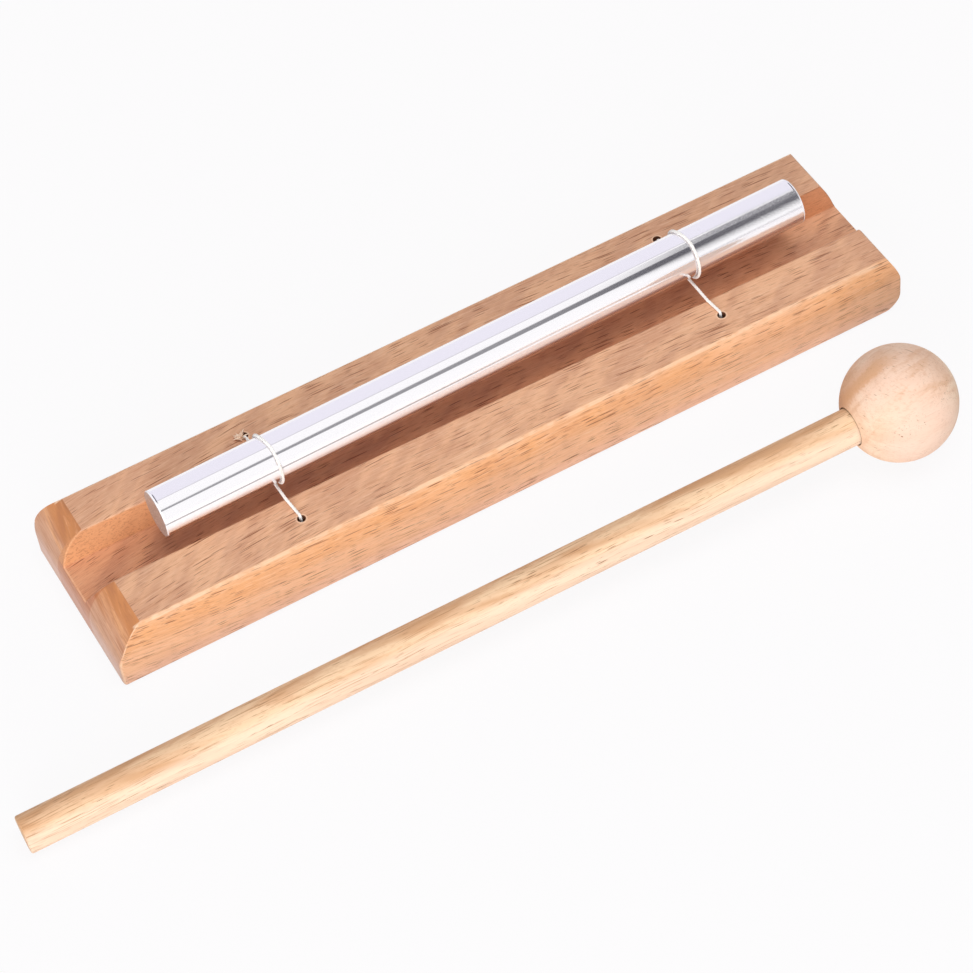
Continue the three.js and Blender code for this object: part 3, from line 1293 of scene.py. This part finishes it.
@dataclass(frozen=True)
class AluminiumFinish(Finish):
    """A drawn and polished aluminium bar: sharp gloss with a little haze, and grit-worn at its right end.

    Its low sides carry a painted reflection: white diffuse paint, most of it towards the left end, that
    stands in for the white room they mirror, crossed by a painted grey line. Its rims carry a painted
    highlight and, near the crest, a painted dark reflection, and its cut ends are dull and mottled.
    """

    name: ClassVar[str] = "polished aluminium"
    rod: RodSizes
    metal: Colour = srgb(252, 250, 253)
    end_metal: Colour = srgb(206, 202, 204)
    rim_shade: Colour = srgb(92, 88, 92)
    # White paint that stands in for the mirrored white room, with a painted reflected grey line on it
    reflection_paint: Colour = srgb(250, 248, 252)
    painted_seam_line: Colour = srgb(172, 172, 176)
    cut_dark: Colour = srgb(150, 132, 124)
    cut_pale: Colour = srgb(222, 212, 208)
    sharp: float = 0.04
    broad: float = 0.36
    haze: float = 0.1
    scratch_depth: float = 0.006

    def draw(self, board: Board) -> Signal:
        """Draw the metal with its painted reflection.

        Args:
            board: The empty board.

        Returns:
            The shader.
        """
        rod = self.rod
        at = board.spot(board.millimetres((0, 0, rod.yaw), (rod.centre_x, rod.centre_y, rod.height)))
        depth_in = rod.length / 2 - abs(at.x)
        on_end = board.step(depth_in, 0.06, 0.02)
        grit = board.noise(board.cells(at.place, (0.5, 0.3, 0.3)), 2.0, 0.6)
        level = at.z / rod.radius
        # A painted reflected grey line along the white paint, towards the left end
        painted_seam_line = board.band(level, 0.29, 0.014, 0.03) * board.step(at.x, 20, -10)
        cut_end = board.mix(board.step(grit, 0.35, 0.7), self.cut_dark, self.cut_pale)
        reflection_paint_colour = board.coats(self.reflection_paint, (painted_seam_line, self.painted_seam_line), (on_end, cut_end))
        reflection_paint = board.shader({"Base Color": reflection_paint_colour, "Roughness": 0.7, "Specular IOR Level": 0.2})
        # Painted reflection: white diffuse paint over the low sides, most towards the left end, and a
        # painted highlight on the rims
        low_down = board.step(level, 0.5, 0.36) * board.step(level, -0.28, 0.14)
        towards_left = board.ramp((rod.length * 0.6 - at.x) / rod.length)
        on_rim = board.band(depth_in, 0.2, 0.12, 0.08) * board.step(level, -0.6, -0.2)
        reflection_paint_share = board.greater(low_down * towards_left * 0.95, on_rim * 0.75) * (1 - on_end)
        bare = self._bare_metal(board, at, on_end, grit)
        return board.blend(board.greater(reflection_paint_share, on_end * 0.5), bare, reflection_paint)

    def _bare_metal(self, board: Board, at: Spot, on_end: Signal, grit: Signal) -> Signal:
        """Draw the metal without its painted reflection: a sharp gloss, blended with a broad one.

        Args:
            board: The board.
            at: The place in the rod's own frame.
            on_end: 1 on the cut ends, and 0 elsewhere.
            grit: The noise of the grit.

        Returns:
            The shader.
        """
        rod = self.rod
        drawn = board.noise(board.cells(at.place, (30, 0.4, 0.4)), 2.0, 0.6)
        scuffs = board.noise(board.cells(at.place, (1.4, 1.1, 1.1)), 3.0, 0.6)
        nicks = board.flecks(board.cells(at.place, (7, 3.2, 3.2)), 0.09, 0.5, 0.5)
        worn_end = board.step(at.x, rod.length * 0.26, rod.length * 0.5)
        height = drawn * 0.3 + scuffs * 0.12 + grit * (worn_end * 3.0 + on_end * 2.0) - nicks * 2.0
        # A painted dark reflection: a dark arc just in from each end, near the crest
        rim_dark_reflection = board.band(rod.length / 2 - abs(at.x), 0.52, 0.07, 0.08) * (at.z > 0)
        near_crest = board.band(at.y / rod.radius, -0.08, 0.16, 0.14)
        look = {
            "Base Color": board.coats(
                self.metal,
                (on_end, self.end_metal),
                (rim_dark_reflection * near_crest * 0.9, self.rim_shade),
                (board.step(scuffs, 0.6, 0.78) * 0.08, self.end_metal),
            ),
            "Metallic": 1.0,
            "Normal": board.bump(height, self.scratch_depth),
        }
        sharp_roughness = drawn * 0.04 + (self.sharp + on_end * 0.24 + worn_end * 0.06)
        sharp = board.shader({**look, "Roughness": sharp_roughness})
        broad = board.shader({**look, "Roughness": scuffs * 0.1 + self.broad})
        return board.blend(worn_end * 0.08 + self.haze, sharp, broad)


@dataclass
class ChimeRod:
    """The solid round bar that rings."""

    sizes: RodSizes = RodSizes()

    def build(self) -> bpy.types.Object:
        """Model the rod and dress it.

        Returns:
            The finished rod.
        """
        sizes = self.sizes
        half = sizes.length / 2
        rod = add_bar("chime_rod_metal", sizes.radius, -half, half, sizes.sides)
        bevel_edges(rod, is_rim, sizes.rim_rounding, sizes.rim_steps)
        rod.rotation_euler = (0, math.pi / 2, math.radians(sizes.yaw))
        rod.location = (sizes.centre_x * MM, sizes.centre_y * MM, sizes.height * MM)
        settle(rod)
        tidy_mesh(rod)
        material = AluminiumFinish(sizes).material()
        finish_piece(rod, material, "rod", "chime_rod", flat_faces=True)
        return rod


# The cords


@dataclass(frozen=True)
class CordSizes:
    """The sizes of a sling's cord and of its two knots, in millimetres."""

    diameter: float = 0.7
    air: float = 0.04
    rail_rounding: float = 0.4
    least_arc_steps: int = 8
    arc_steps_per_radian: int = 12
    # How far the turn round the rod strays from the hole, at angles round the rod, from +Y towards +Z
    strays: tuple[Stray, ...] = ((-90, -0.45), (50, -0.5), (126, 0.45), (200, 0.42), (270, 0.45))
    knot_radius: float = 1.2
    knot_pitch: float = 1.2
    knot_turns: int = 2
    knot_steps: int = 32
    plies: int = 3
    ply_radius: float = 0.225
    twist: float = 2.6
    ring_spacing: float = 0.16
    ring_sides: int = 8

    @property
    def stand_off(self) -> float:
        """How far the cord's middle keeps from what it is laid round."""
        return self.diameter / 2 + self.air


@dataclass(frozen=True)
class CordFinish(Finish):
    """White twisted nylon cord, drawn along the cord's own UV map."""

    name: ClassVar[str] = "white twisted cord"
    white: Colour = srgb(254, 252, 249)
    shade: Colour = srgb(236, 222, 214)
    roughness: float = 0.6

    def draw(self, board: Board) -> Signal:
        """Draw the cord.

        Args:
            board: The empty board.

        Returns:
            The shader.
        """
        lay = board.node("ShaderNodeUVMap", {"uv_map": "lay"})
        along, around, _ = board.axes(lay)
        fibres = board.noise(board.vector(along * 0.9, around * 26.0, 0.0), 2.0, 0.6)
        stains = board.noise(board.vector(along * 0.35, around * 1.2, 3.0), 2.0)
        shaded = board.step(fibres, 0.45, 0.7) * 0.3
        stained = board.step(stains, 0.5, 0.75) * 0.4
        return board.shader(
            {
                "Base Color": board.coats(self.white, (shaded, self.shade), (stained, self.shade)),
                "Roughness": fibres * 0.2 + self.roughness,
                "Normal": board.bump(fibres, 0.02),
                "Sheen Weight": 0.15,
            }
        )


@dataclass
class CordSling:
    """One cord: from a knot under the near rail, once round the rod, to a knot under the far rail."""

    name: str
    x: float
    base: BaseSizes
    rod: RodSizes
    sizes: CordSizes = CordSizes()

    def build(self) -> bpy.types.Object:
        """Model the cord's twisted plies and dress them.

        Returns:
            The finished cord.
        """
        route = self._even_route(self._route())
        mesh = bpy.data.meshes.new(f"{self.name}_twisted")
        piece = bpy.data.objects.new(mesh.name, mesh)
        bpy.context.collection.objects.link(piece)
        self._twist_plies(mesh, route)
        finish_piece(piece, CordFinish().material(), "base", self.name)
        return piece

    def _stray_at(self, angle: float) -> float:
        """Find the X of the turn round the rod at an angle, easing from one measured stray to the next.

        Args:
            angle: The angle round the rod, in radians from +Y towards +Z.

        Returns:
            The X.
        """
        strays = self.sizes.strays
        degrees = math.degrees(angle)
        if degrees <= strays[0][0]:
            return self.x + strays[0][1]
        for (low, low_stray), (high, high_stray) in zip(strays, strays[1:]):
            if degrees <= high:
                share = (degrees - low) / (high - low)
                eased = share * share * (3 - 2 * share)
                return self.x + low_stray + (high_stray - low_stray) * eased
        return self.x + strays[-1][1]

    def _arc(
        self, centre: Vector, radius: float, ends: tuple[float, float], x_at: Callable[[float], float]
    ) -> list[Vector]:
        """Lay points on an arc round a line along X.

        Args:
            centre: The line's place. Its X isn't used.
            radius: The arc's radius.
            ends: The first and the last angle, in radians from +Y towards +Z.
            x_at: Gives the X at an angle.

        Returns:
            The points.
        """
        cord = self.sizes
        swept = ends[1] - ends[0]
        steps = max(cord.least_arc_steps, round(abs(swept) * cord.arc_steps_per_radian))
        points = []
        for step in range(steps + 1):
            angle = ends[0] + swept * step / steps
            across, up = radius * math.cos(angle), radius * math.sin(angle)
            points.append(Vector((x_at(angle), centre.y + across, centre.z + up)))
        return points

    def _lead(self, turn_x: float, side: Side) -> tuple[float, list[Vector]]:
        """Lay the cord from its hole over the rail to where it runs straight to the rod.

        Args:
            turn_x: The X at which it reaches the rod.
            side: The rail.

        Returns:
            The slope of the run to the rod, and the points of the lead.
        """
        base, cord = self.base, self.sizes
        rod = self.rod.axis_at(self.x)
        rim = Vector((0, side.value * (base.hole_offset - base.hole_radius), base.height))
        rounded = cord.rail_rounding * (1 - math.tan(math.radians(base.channel_wall_lean)))
        half_mouth = base.channel_half_mouth + rounded
        edge = Vector((0, base.channel_middle_at(self.x) + side.value * half_mouth, base.height))
        across, up = abs(rod.y - edge.y), rod.z - edge.z
        reach = cord.stand_off + self.rod.radius + cord.stand_off
        slope = math.asin(reach / math.hypot(across, up)) - math.atan2(up, across)
        outward = math.pi if side is Side.NEAR else 0.0
        upright = math.pi / 2
        tilted = upright + side.value * slope
        points = self._arc(rim, cord.stand_off, (outward, upright), lambda angle: self.x)
        points += self._arc(edge, cord.stand_off, (upright, tilted), lambda angle: turn_x)
        return slope, points

    def _knot(self, y: float) -> list[Vector]:
        """Wind a stopper knot, from its tail to the cord that rises in the hole.

        Args:
            y: The hole's place across the base.

        Returns:
            The points.
        """
        cord = self.sizes
        top = self.base.counterbore_depth - cord.stand_off
        foot = top - cord.knot_turns * cord.knot_pitch
        points = []

        def wind(angle: float, radius: float, height: float) -> None:
            """Lay one point of the knot, at an angle in radians."""
            out = turned(Vector((1, 0, 0)), Vector((0, 1, 0)), angle) * radius
            points.append(Vector((self.x, y, height)) + out)

        for step in range(cord.knot_turns * cord.knot_steps):
            angle = 2 * math.pi * step / cord.knot_steps
            wind(angle, cord.knot_radius, top - cord.knot_pitch * step / cord.knot_steps)
        for step in range(cord.knot_steps // 2):
            angle = 2 * math.pi * step / cord.knot_steps
            sunk = cord.knot_pitch / 2 * math.sin(angle)
            wind(angle, cord.knot_radius * math.cos(angle / 2), foot - sunk)
        wind(0.0, 0.0, foot + cord.knot_pitch / 2)
        return points

    def _route(self) -> list[Vector]:
        """Lay the whole route of the cord's middle.

        Returns:
            The points, in millimetres.
        """
        cord, base = self.sizes, self.base
        near_slope, near = self._lead(self.x + cord.strays[0][1], Side.NEAR)
        far_slope, far = self._lead(self.x + cord.strays[-1][1], Side.FAR)
        ends = (-math.pi / 2 - near_slope, math.pi * 3 / 2 + far_slope)
        wrap = self._arc(self.rod.axis_at(self.x), self.rod.radius + cord.stand_off, ends, self._stray_at)
        near_knot, far_knot = self._knot(-base.hole_offset), self._knot(base.hole_offset)
        return near_knot + near + wrap + far[::-1] + far_knot[::-1]

    def _even_route(self, route: Sequence[Vector]) -> list[Vector]:
        """Lay the route again with its points evenly spaced.

        Args:
            route: The points of the route.

        Returns:
            The evenly spaced points.
        """
        spacing = self.sizes.ring_spacing
        points = [route[0].copy()]
        left = spacing
        for start, end in zip(route, route[1:]):
            run = (end - start).length
            while run - left > 0:
                points.append(start.lerp(end, left / run))
                left += spacing
            left -= run
        return points

    def _twist_plies(self, mesh: bpy.types.Mesh, route: Sequence[Vector]) -> None:
        """Build the plies round the route as closed tubes with a UV map along and round them.

        Args:
            mesh: The empty mesh to fill.
            route: The evenly spaced points of the cord's middle.
        """
        cord = self.sizes
        made = bmesh.new()
        lay = made.loops.layers.uv.new("lay")
        frames = self._frames(route)
        off_middle = cord.diameter / 2 - cord.ply_radius
        for ply in range(cord.plies):
            middles = []
            for place, (point, side, up) in enumerate(frames):
                angle = 2 * math.pi * (place * cord.ring_spacing / cord.twist + ply / cord.plies)
                middles.append(point + turned(side, up, angle) * off_middle)
            self._add_tube(made, lay, middles, ply)
        made.to_mesh(mesh)
        made.free()

    @staticmethod
    def _frames(route: Sequence[Vector]) -> list[tuple[Vector, Vector, Vector]]:
        """Carry two cross directions along a route without letting them spin.

        Args:
            route: The points.

        Returns:
            For each point, the point and its two cross directions.
        """
        frames = []
        side = Vector((0, 0, 1))
        for place, point in enumerate(route):
            ahead = route[min(place + 1, len(route) - 1)]
            behind = route[max(place - 1, 0)]
            along = (ahead - behind).normalized()
            if place == 0:
                side = along.orthogonal()
            side = (side - along * side.dot(along)).normalized()
            frames.append((point, side, along.cross(side)))
        return frames

    def _add_tube(
        self, made: bmesh.types.BMesh, lay: bmesh.types.BMLayerItem, middles: Sequence[Vector], ply: int
    ) -> None:
        """Add one closed tube.

        Args:
            made: The mesh that is being built.
            lay: Its UV layer.
            middles: The tube's middle points, in millimetres.
            ply: The tube's number, which sets its UV map apart from the others.
        """
        cord = self.sizes
        rings = []
        for point, side, up in self._frames(middles):
            ring = []
            for corner in range(cord.ring_sides):
                angle = 2 * math.pi * corner / cord.ring_sides
                ring.append(made.verts.new((point + turned(side, up, angle) * cord.ply_radius) * MM))
            rings.append(ring)
        for place, (ring, following) in enumerate(zip(rings, rings[1:])):
            for corner in range(cord.ring_sides):
                nearby = (corner + 1) % cord.ring_sides
                face = made.faces.new((ring[corner], ring[nearby], following[nearby], following[corner]))
                face.smooth = True
                shares = ((0, 0), (0, 1), (1, 1), (1, 0))
                for loop, (ahead, across) in zip(face.loops, shares):
                    around = (corner + across) / cord.ring_sides + ply
                    loop[lay].uv = ((place + ahead) * cord.ring_spacing, around)
        made.faces.new(rings[0][::-1])
        made.faces.new(rings[-1])


# The mallet


@dataclass(frozen=True)
class MalletSizes:
    """The mallet's sizes and place, in millimetres and degrees."""

    ball_radius: float = 12.5
    # The ball is made this much smaller, so that its finer facets stay within the box of the solids
    sanded_off: float = 0.01
    bore_depth: float = 12.0
    bore_room: float = 0.22
    glue_gap: float = 0.3
    stick_radius: float = 4.1
    stick_length: float = 200.0
    rim_rounding: float = 0.45
    rim_steps: int = 3
    x: float = 72.5
    y: float = -53.4
    yaw: float = -2.04
    ball_segments: int = 128
    stick_sides: int = 96

    @property
    def bore_radius(self) -> float:
        """The radius of the hole in the ball."""
        return self.stick_radius + self.bore_room

    @property
    def stick_start(self) -> float:
        """How far the stick's inner end is from the ball's middle."""
        return self.ball_radius - self.bore_depth + self.glue_gap

    @property
    def lean(self) -> float:
        """How far the stick leans down to its free end, in radians."""
        return math.asin((self.ball_radius - self.stick_radius) / (self.stick_start + self.stick_length))

    def lay_down(self, piece: bpy.types.Object) -> None:
        """Lay a piece where the mallet lies.

        Args:
            piece: The piece, made upright on the Z axis with the ball's middle at zero.
        """
        piece.rotation_euler = (0, math.pi / 2 - self.lean, math.radians(self.yaw))
        piece.location = (self.x * MM, self.y * MM, self.ball_radius * MM)
        settle(piece)


@dataclass(frozen=True)
class MalletWoodFinish(Finish):
    """Bare sanded pale wood: peach and cream layers, brown lines along the grain and short dark pores, with
    painted light that pales its near side and its top.
    """

    name: str
    mallet: MalletSizes
    # In millimetres: the piece's radius, the width of a layer and how far the grain wanders
    radius: float
    layer: float
    swirl: float
    # How strong the brown lines are, and the share of the cells that hold a pore
    lines: float
    pores: float
    pore_turn: float = 0.0
    figure: float = 0.7
    heart: float = 0.0
    layers: float = 0.0
    heart_normal: Point = (-0.374, 0.914, -0.158)
    heart_reach: float = 7.2
    # How much painted light pales the near side (edge) and the top (lit_top)
    edge: float = 0.4
    lit_top: float = 0.0
    peach: Colour = srgb(243, 206, 177)
    cream: Colour = srgb(246, 216, 190)
    red_brown: Colour = srgb(220, 168, 128)
    painted_light_pink: Colour = srgb(240, 206, 190)
    line_brown: Colour = srgb(176, 124, 82)
    pore_brown: Colour = srgb(146, 98, 62)
    joint_brown: Colour = srgb(128, 88, 46)
    roughness: float = 0.55
    grain_depth: float = 0.03

    def draw(self, board: Board) -> Signal:
        """Draw the wood in the mallet's own frame, whose Z runs along the stick to the ball.

        Args:
            board: The empty board.

        Returns:
            The shader.
        """
        mallet = self.mallet
        turn = (0.0, 90.0 - math.degrees(mallet.lean), mallet.yaw)
        at = board.spot(board.millimetres(turn, (mallet.x, mallet.y, mallet.ball_radius)))
        wander = board.noise(board.cells(at.place, (9, 9, 20)), 1.0) - 0.5
        side_wander = board.noise(board.cells(at.place, (12, 8, 24), (0, 20, 0)), 1.0) - 0.5
        waved = board.moved(at.place, board.vector(wander * self.swirl, side_wander * self.swirl, 0.0))
        pore_turn = (self.pore_turn, 0, 0)
        lines = board.noise(board.cells(waved, (0.24, 0.28, 12)), 3.0, 0.65)
        mottle = board.noise(board.cells(waved, (0.5, 0.7, 1.6), pore_turn), 2.0, 0.6)
        clusters = board.step(board.noise(board.cells(at.place, (5, 5, 9)), 1.0), 0.45, 0.62)
        pore_cells = board.cells(waved, (0.3, 0.3, 3.6), pore_turn)
        pores = board.flecks(pore_cells, 0.46, self.pores, 0.5) * clusters
        colour = board.coats(
            self._layered(board, at, waved, wander * 3 + (mottle - 0.5) * 1.5),
            (board.step(mottle, 0.5, 0.7) * 0.3, self.red_brown),
            # Painted light: a paler pink on the near side
            (board.step(at.y, self.radius * -0.5, self.radius * -0.9) * self.edge, self.painted_light_pink),
            (board.step(lines, 0.53, 0.7) * self.lines, self.line_brown),
            (pores * 0.85, self.pore_brown),
            (self._joint(board, at), self.joint_brown),
        )
        return board.shader(
            {
                "Base Color": colour,
                "Roughness": lines * 0.15 + self.roughness,
                "Normal": board.bump(lines * 0.6 - pores, self.grain_depth),
                "Specular IOR Level": 0.35,
            }
        )

    def _layered(self, board: Board, at: Spot, waved: Signal, unevenness: Signal) -> Signal:
        """Lay the broad layers of the wood, and the reddish growth layers round the heart of the tree.

        Args:
            board: The board.
            at: The place in the mallet's frame.
            waved: The place, shifted along the wavy grain.
            unevenness: How far the growth layers stray, in millimetres.

        Returns:
            The broad colour.
        """
        figure = board.noise(board.cells(waved, (self.layer, self.layer * 2, 44), (0, 5, 0)), 2.0, 0.5)
        along_x, along_y, along_z = self.heart_normal
        heart = at.x * along_x + at.y * along_y + at.z * along_z + unevenness
        band = board.band(heart, self.heart_reach, 0.5, 2.2) * board.step(at.z, 4, -5)
        layers = board.noise(board.vector(heart / 1.5, (at.x + at.z) / 16, at.z / 16), 3.0, 0.6)
        return board.coats(
            self.cream,
            (board.step(figure, 0.38, 0.54), self.peach),
            (board.step(figure, 0.53, 0.64) * self.figure, self.red_brown),
            # Painted light: a paler pink on the top
            (board.step(at.x, self.radius * -0.3, self.radius * -0.95) * self.lit_top, self.painted_light_pink),
            (band * self.heart, self.red_brown),
            (board.step(layers, 0.5, 0.66) * self.layers, self.red_brown),
        )

    def _joint(self, board: Board, at: Spot) -> Signal:
        """Find the dark glue joint, where the stick goes into the ball.

        Args:
            board: The board.
            at: The place in the mallet's frame.

        Returns:
            The joint's mask.
        """
        mallet = self.mallet
        from_axis = board.root(at.x * at.x + at.y * at.y)
        in_bore = board.step(from_axis, mallet.bore_radius + 0.12, mallet.bore_radius + 0.02)
        down_the_stick = board.step(at.z, 0.4 - mallet.ball_radius, -0.2 - mallet.ball_radius)
        off_stick = from_axis > mallet.stick_radius + 0.03
        return in_bore * (1 - down_the_stick) * off_stick * (at.z < 0)


@dataclass
class BallMallet:
    """A turned ball glued on a dowel."""

    sizes: MalletSizes = MalletSizes()

    def build(self) -> list[bpy.types.Object]:
        """Model the ball and the stick and dress them.

        Returns:
            The ball and the stick.
        """
        return [self._ball(), self._stick()]

    def _ball(self) -> bpy.types.Object:
        """Turn the ball and bore it for the stick.

        Returns:
            The finished ball.
        """
        sizes = self.sizes
        deselect_all()
        bpy.ops.mesh.primitive_uv_sphere_add(
            segments=sizes.ball_segments,
            ring_count=sizes.ball_segments // 2,
            radius=(sizes.ball_radius - sizes.sanded_off) * MM,
        )
        ball = bpy.context.object
        ball.name = "mallet_ball_turned"
        bore = add_bar(
            "stick bore",
            sizes.bore_radius,
            -2 * sizes.ball_radius,
            sizes.bore_depth - sizes.ball_radius,
            sizes.stick_sides,
        )
        cut_away(ball, bore)
        sizes.lay_down(ball)
        tidy_mesh(ball)
        finish = MalletWoodFinish(
            name="pale ball wood",
            mallet=sizes,
            radius=sizes.ball_radius,
            layer=4.4,
            swirl=4.0,
            lines=0.22,
            pores=0.4,
            pore_turn=60.0,
            figure=0.25,
            heart=0.85,
            layers=0.4,
            # Painted light on the near side and the top
            edge=0.55,
            lit_top=0.5,
        )
        finish_piece(ball, finish.material(), "mallet", "mallet_ball")
        return ball

    def _stick(self) -> bpy.types.Object:
        """Cut the stick from dowel and round its rims.

        Returns:
            The finished stick.
        """
        sizes = self.sizes
        top = -sizes.stick_start
        stick = add_bar(
            "mallet_stick_dowel", sizes.stick_radius, top - sizes.stick_length, top, sizes.stick_sides
        )
        bevel_edges(stick, is_rim, sizes.rim_rounding, sizes.rim_steps)
        sizes.lay_down(stick)
        tidy_mesh(stick)
        finish = MalletWoodFinish(
            name="pale dowel wood",
            mallet=sizes,
            radius=sizes.stick_radius,
            layer=1.6,
            swirl=1.2,
            lines=0.75,
            # Painted light on the near side
            pores=0.5,
            edge=0.6,
            peach=srgb(228, 185, 147),
            cream=srgb(241, 205, 168),
            red_brown=srgb(212, 162, 120),
            painted_light_pink=srgb(250, 222, 200),
        )
        finish_piece(stick, finish.material(), "mallet", "mallet_stick", flat_faces=True)
        return stick


# The studio


@dataclass(frozen=True)
class SoftLamp:
    """A square soft lamp that looks at the object: its place and span are in metres, its power in watts."""

    name: str
    place: Point
    span: float
    power: float


@dataclass(frozen=True)
class WhiteRoom:
    """The room round the object: even for soft light, white for the camera, and panels for the gloss."""

    even: Colour = (0.3, 0.3, 0.3)
    seen: Colour = (0.975, 0.966, 0.975)
    white: Colour = (1.03, 1.03, 1.03)
    lavender: Colour = (0.865, 0.85, 0.935)
    seam_grey: Colour = (0.5, 0.49, 0.52)
    gap_grey: Colour = (0.075, 0.072, 0.09)

    def paint(self) -> None:
        """Make the world that the scene is lit by.

        Soft rays, the camera's own and those that the metal mirrors each find their own colour.
        """
        world = bpy.data.worlds.new("white room")
        bpy.context.scene.world = world
        world.use_nodes = True
        board = Board(world.node_tree)
        path = board.node("ShaderNodeLightPath").socket.node.outputs
        colour = board.coats(
            self._panels(board),
            (Signal(board, path["Is Diffuse Ray"]), self.even),
            (Signal(board, path["Is Camera Ray"]), self.seen),
        )
        room = board.node("ShaderNodeBackground", inputs={"Color": colour, "Strength": 1.0})
        board.node("ShaderNodeOutputWorld", inputs={"Surface": room})

    def _panels(self, board: Board) -> Signal:
        """Paint what polished metal mirrors: white and lavender panels, with thin seams and a dark gap.

        The gap widens and darkens towards +X, where a grey ledge joins it. Heights are angles round the
        rod's direction, in degrees from the far horizon over the zenith.

        Args:
            board: The world's board.

        Returns:
            The colour of the room in each direction.
        """
        x, y, z = board.axes(board.node("ShaderNodeTexCoord", output="Generated"))
        height = board.maths("ARCTAN2", z, y) * (180 / math.pi)
        gap_top = board.ramp((height - (142.3 - x * 104)) / 4 + 0.5)
        widening = board.step(x, 0.322, 0.368)
        gap_foot = board.ramp((widening * 13 + 131 - height) / (widening * 32 + 3) + 0.5)
        gap = gap_top * gap_foot * (board.step(x, 0.29, 0.352) * 0.22 + 0.78)
        ledge = board.step(height, 82.5, 86) * board.step(height, 122, 106) * board.step(x, 0.31, 0.372)
        right_seam = board.band(height, 177, 4, 6) * board.step(x, 0.342, 0.37)
        return board.coats(
            self.lavender,
            (board.step(height, 76.5, 80), self.white),
            (board.band(height, 77.5, 1.2, 1.6) * 0.6, self.seam_grey),
            (board.band(height, 184, 1.0, 1.8) * 0.5, self.seam_grey),
            (right_seam * 0.7, self.seam_grey),
            (board.greater(gap, ledge), self.gap_grey),
        )


@dataclass
class Studio:
    """The camera, the pale floor, the white room and the soft lamps. Places are in metres."""

    camera_place: Point = (-0.18571, -0.43188, 0.54781)
    camera_right: Point = (0.86915, -0.48707, -0.08567)
    camera_up: Point = (0.42561, 0.64845, 0.63117)
    camera_back: Point = (-0.25187, -0.58504, 0.7709)
    lens: float = 124.148
    sensor_width: float = 36.0
    floor_span: float = 6.0
    floor_height: float = -0.0001
    floor_white: Colour = (0.905, 0.9, 0.905)
    floor_shadow: Colour = (0.075, 0.073, 0.075)
    floor_soft: Colour = (0.8, 0.79, 0.78)
    lamps: tuple[SoftLamp, ...] = (
        SoftLamp("overhead lamp", (0.15, -0.25, 1.5), 1.1, 12.4),
        SoftLamp("front lamp", (-0.75, -1.15, 0.42), 0.9, 14.2),
    )
    room: WhiteRoom = WhiteRoom()

    def build(self) -> None:
        """Set up everything round the object.

        The view transform is the plain one, so that a colour shows as it is written.
        """
        self._add_camera()
        self._add_floor()
        self._add_lamps()
        self.room.paint()
        bpy.context.scene.view_settings.view_transform = "Standard"

    def _add_camera(self) -> None:
        """Stand the camera where the photo was taken from.

        Its place, turn and lens come from the outlines of the pieces in the photo.
        """
        camera = bpy.data.objects.new("camera", bpy.data.cameras.new("camera"))
        bpy.context.collection.objects.link(camera)
        turn = Matrix((self.camera_right, self.camera_up, self.camera_back)).transposed()
        camera.matrix_world = Matrix.Translation(self.camera_place) @ turn.to_4x4()
        camera.data.lens = self.lens
        camera.data.sensor_width = self.sensor_width
        bpy.context.scene.camera = camera

    def _add_floor(self) -> None:
        """Lay the pale floor just under the object.

        It rides on no body, so that it isn't part of the object.
        """
        deselect_all()
        bpy.ops.mesh.primitive_plane_add(size=self.floor_span, location=(0, 0, self.floor_height))
        floor = bpy.context.object
        floor.name = "studio_floor"
        settle(floor)
        floor.data.materials.append(new_material("pale floor", self._draw_floor))

    @staticmethod
    def _seen_white(board: Board) -> Signal:
        """Tell what is seen from soft light.

        Args:
            board: The board.

        Returns:
            1 for what the camera sees itself, mirrored or through glass, and 0 for soft light.
        """
        path = board.node("ShaderNodeLightPath").socket.node.outputs
        kinds = ("Is Camera Ray", "Is Glossy Ray", "Is Transmission Ray")
        straight, mirrored, through = (Signal(board, path[kind]) for kind in kinds)
        return board.greater(board.greater(straight, mirrored), through)

    def _draw_floor(self, board: Board) -> Signal:
        """Draw a floor that looks white and still takes the object's shadow.

        Args:
            board: The empty board.

        Returns:
            The shader.
        """
        white = board.node("ShaderNodeEmission", inputs={"Color": self.floor_white, "Strength": 1.0})
        shadowed = board.node("ShaderNodeBsdfDiffuse", inputs={"Color": self.floor_shadow})
        seen = board.node("ShaderNodeAddShader", inputs={0: white, 1: shadowed})
        plain = board.node("ShaderNodeBsdfDiffuse", inputs={"Color": self.floor_soft})
        return board.blend(self._seen_white(board), plain, seen)

    def _add_lamps(self) -> None:
        """Hang the soft lamps, each turned to the object.

        The polished rod doesn't mirror them.
        """
        for sizes in self.lamps:
            lamp = bpy.data.objects.new(sizes.name, bpy.data.lights.new(sizes.name, "AREA"))
            bpy.context.collection.objects.link(lamp)
            lamp.data.size = sizes.span
            lamp.data.energy = sizes.power
            lamp.location = sizes.place
            lamp.rotation_euler = (-Vector(sizes.place)).to_track_quat("-Z", "Y").to_euler()
            lamp.visible_glossy = False


def main() -> None:
    """Build every piece in order and set up the studio.

    The view layer is brought up to date before the first piece is made.
    """
    logging.basicConfig(level=logging.INFO, format="%(name)s: %(message)s")
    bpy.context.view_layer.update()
    base = ChannelledBase()
    base.build()
    rod = ChimeRod()
    rod.build()
    for name, x in zip(("sling_cord_left", "sling_cord_right"), base.sizes.sling_places):
        CordSling(name, x, base.sizes, rod.sizes).build()
    TornFibres(base.sizes).build()
    BallMallet().build()
    Studio().build()


if __name__ == "__main__":
    main()
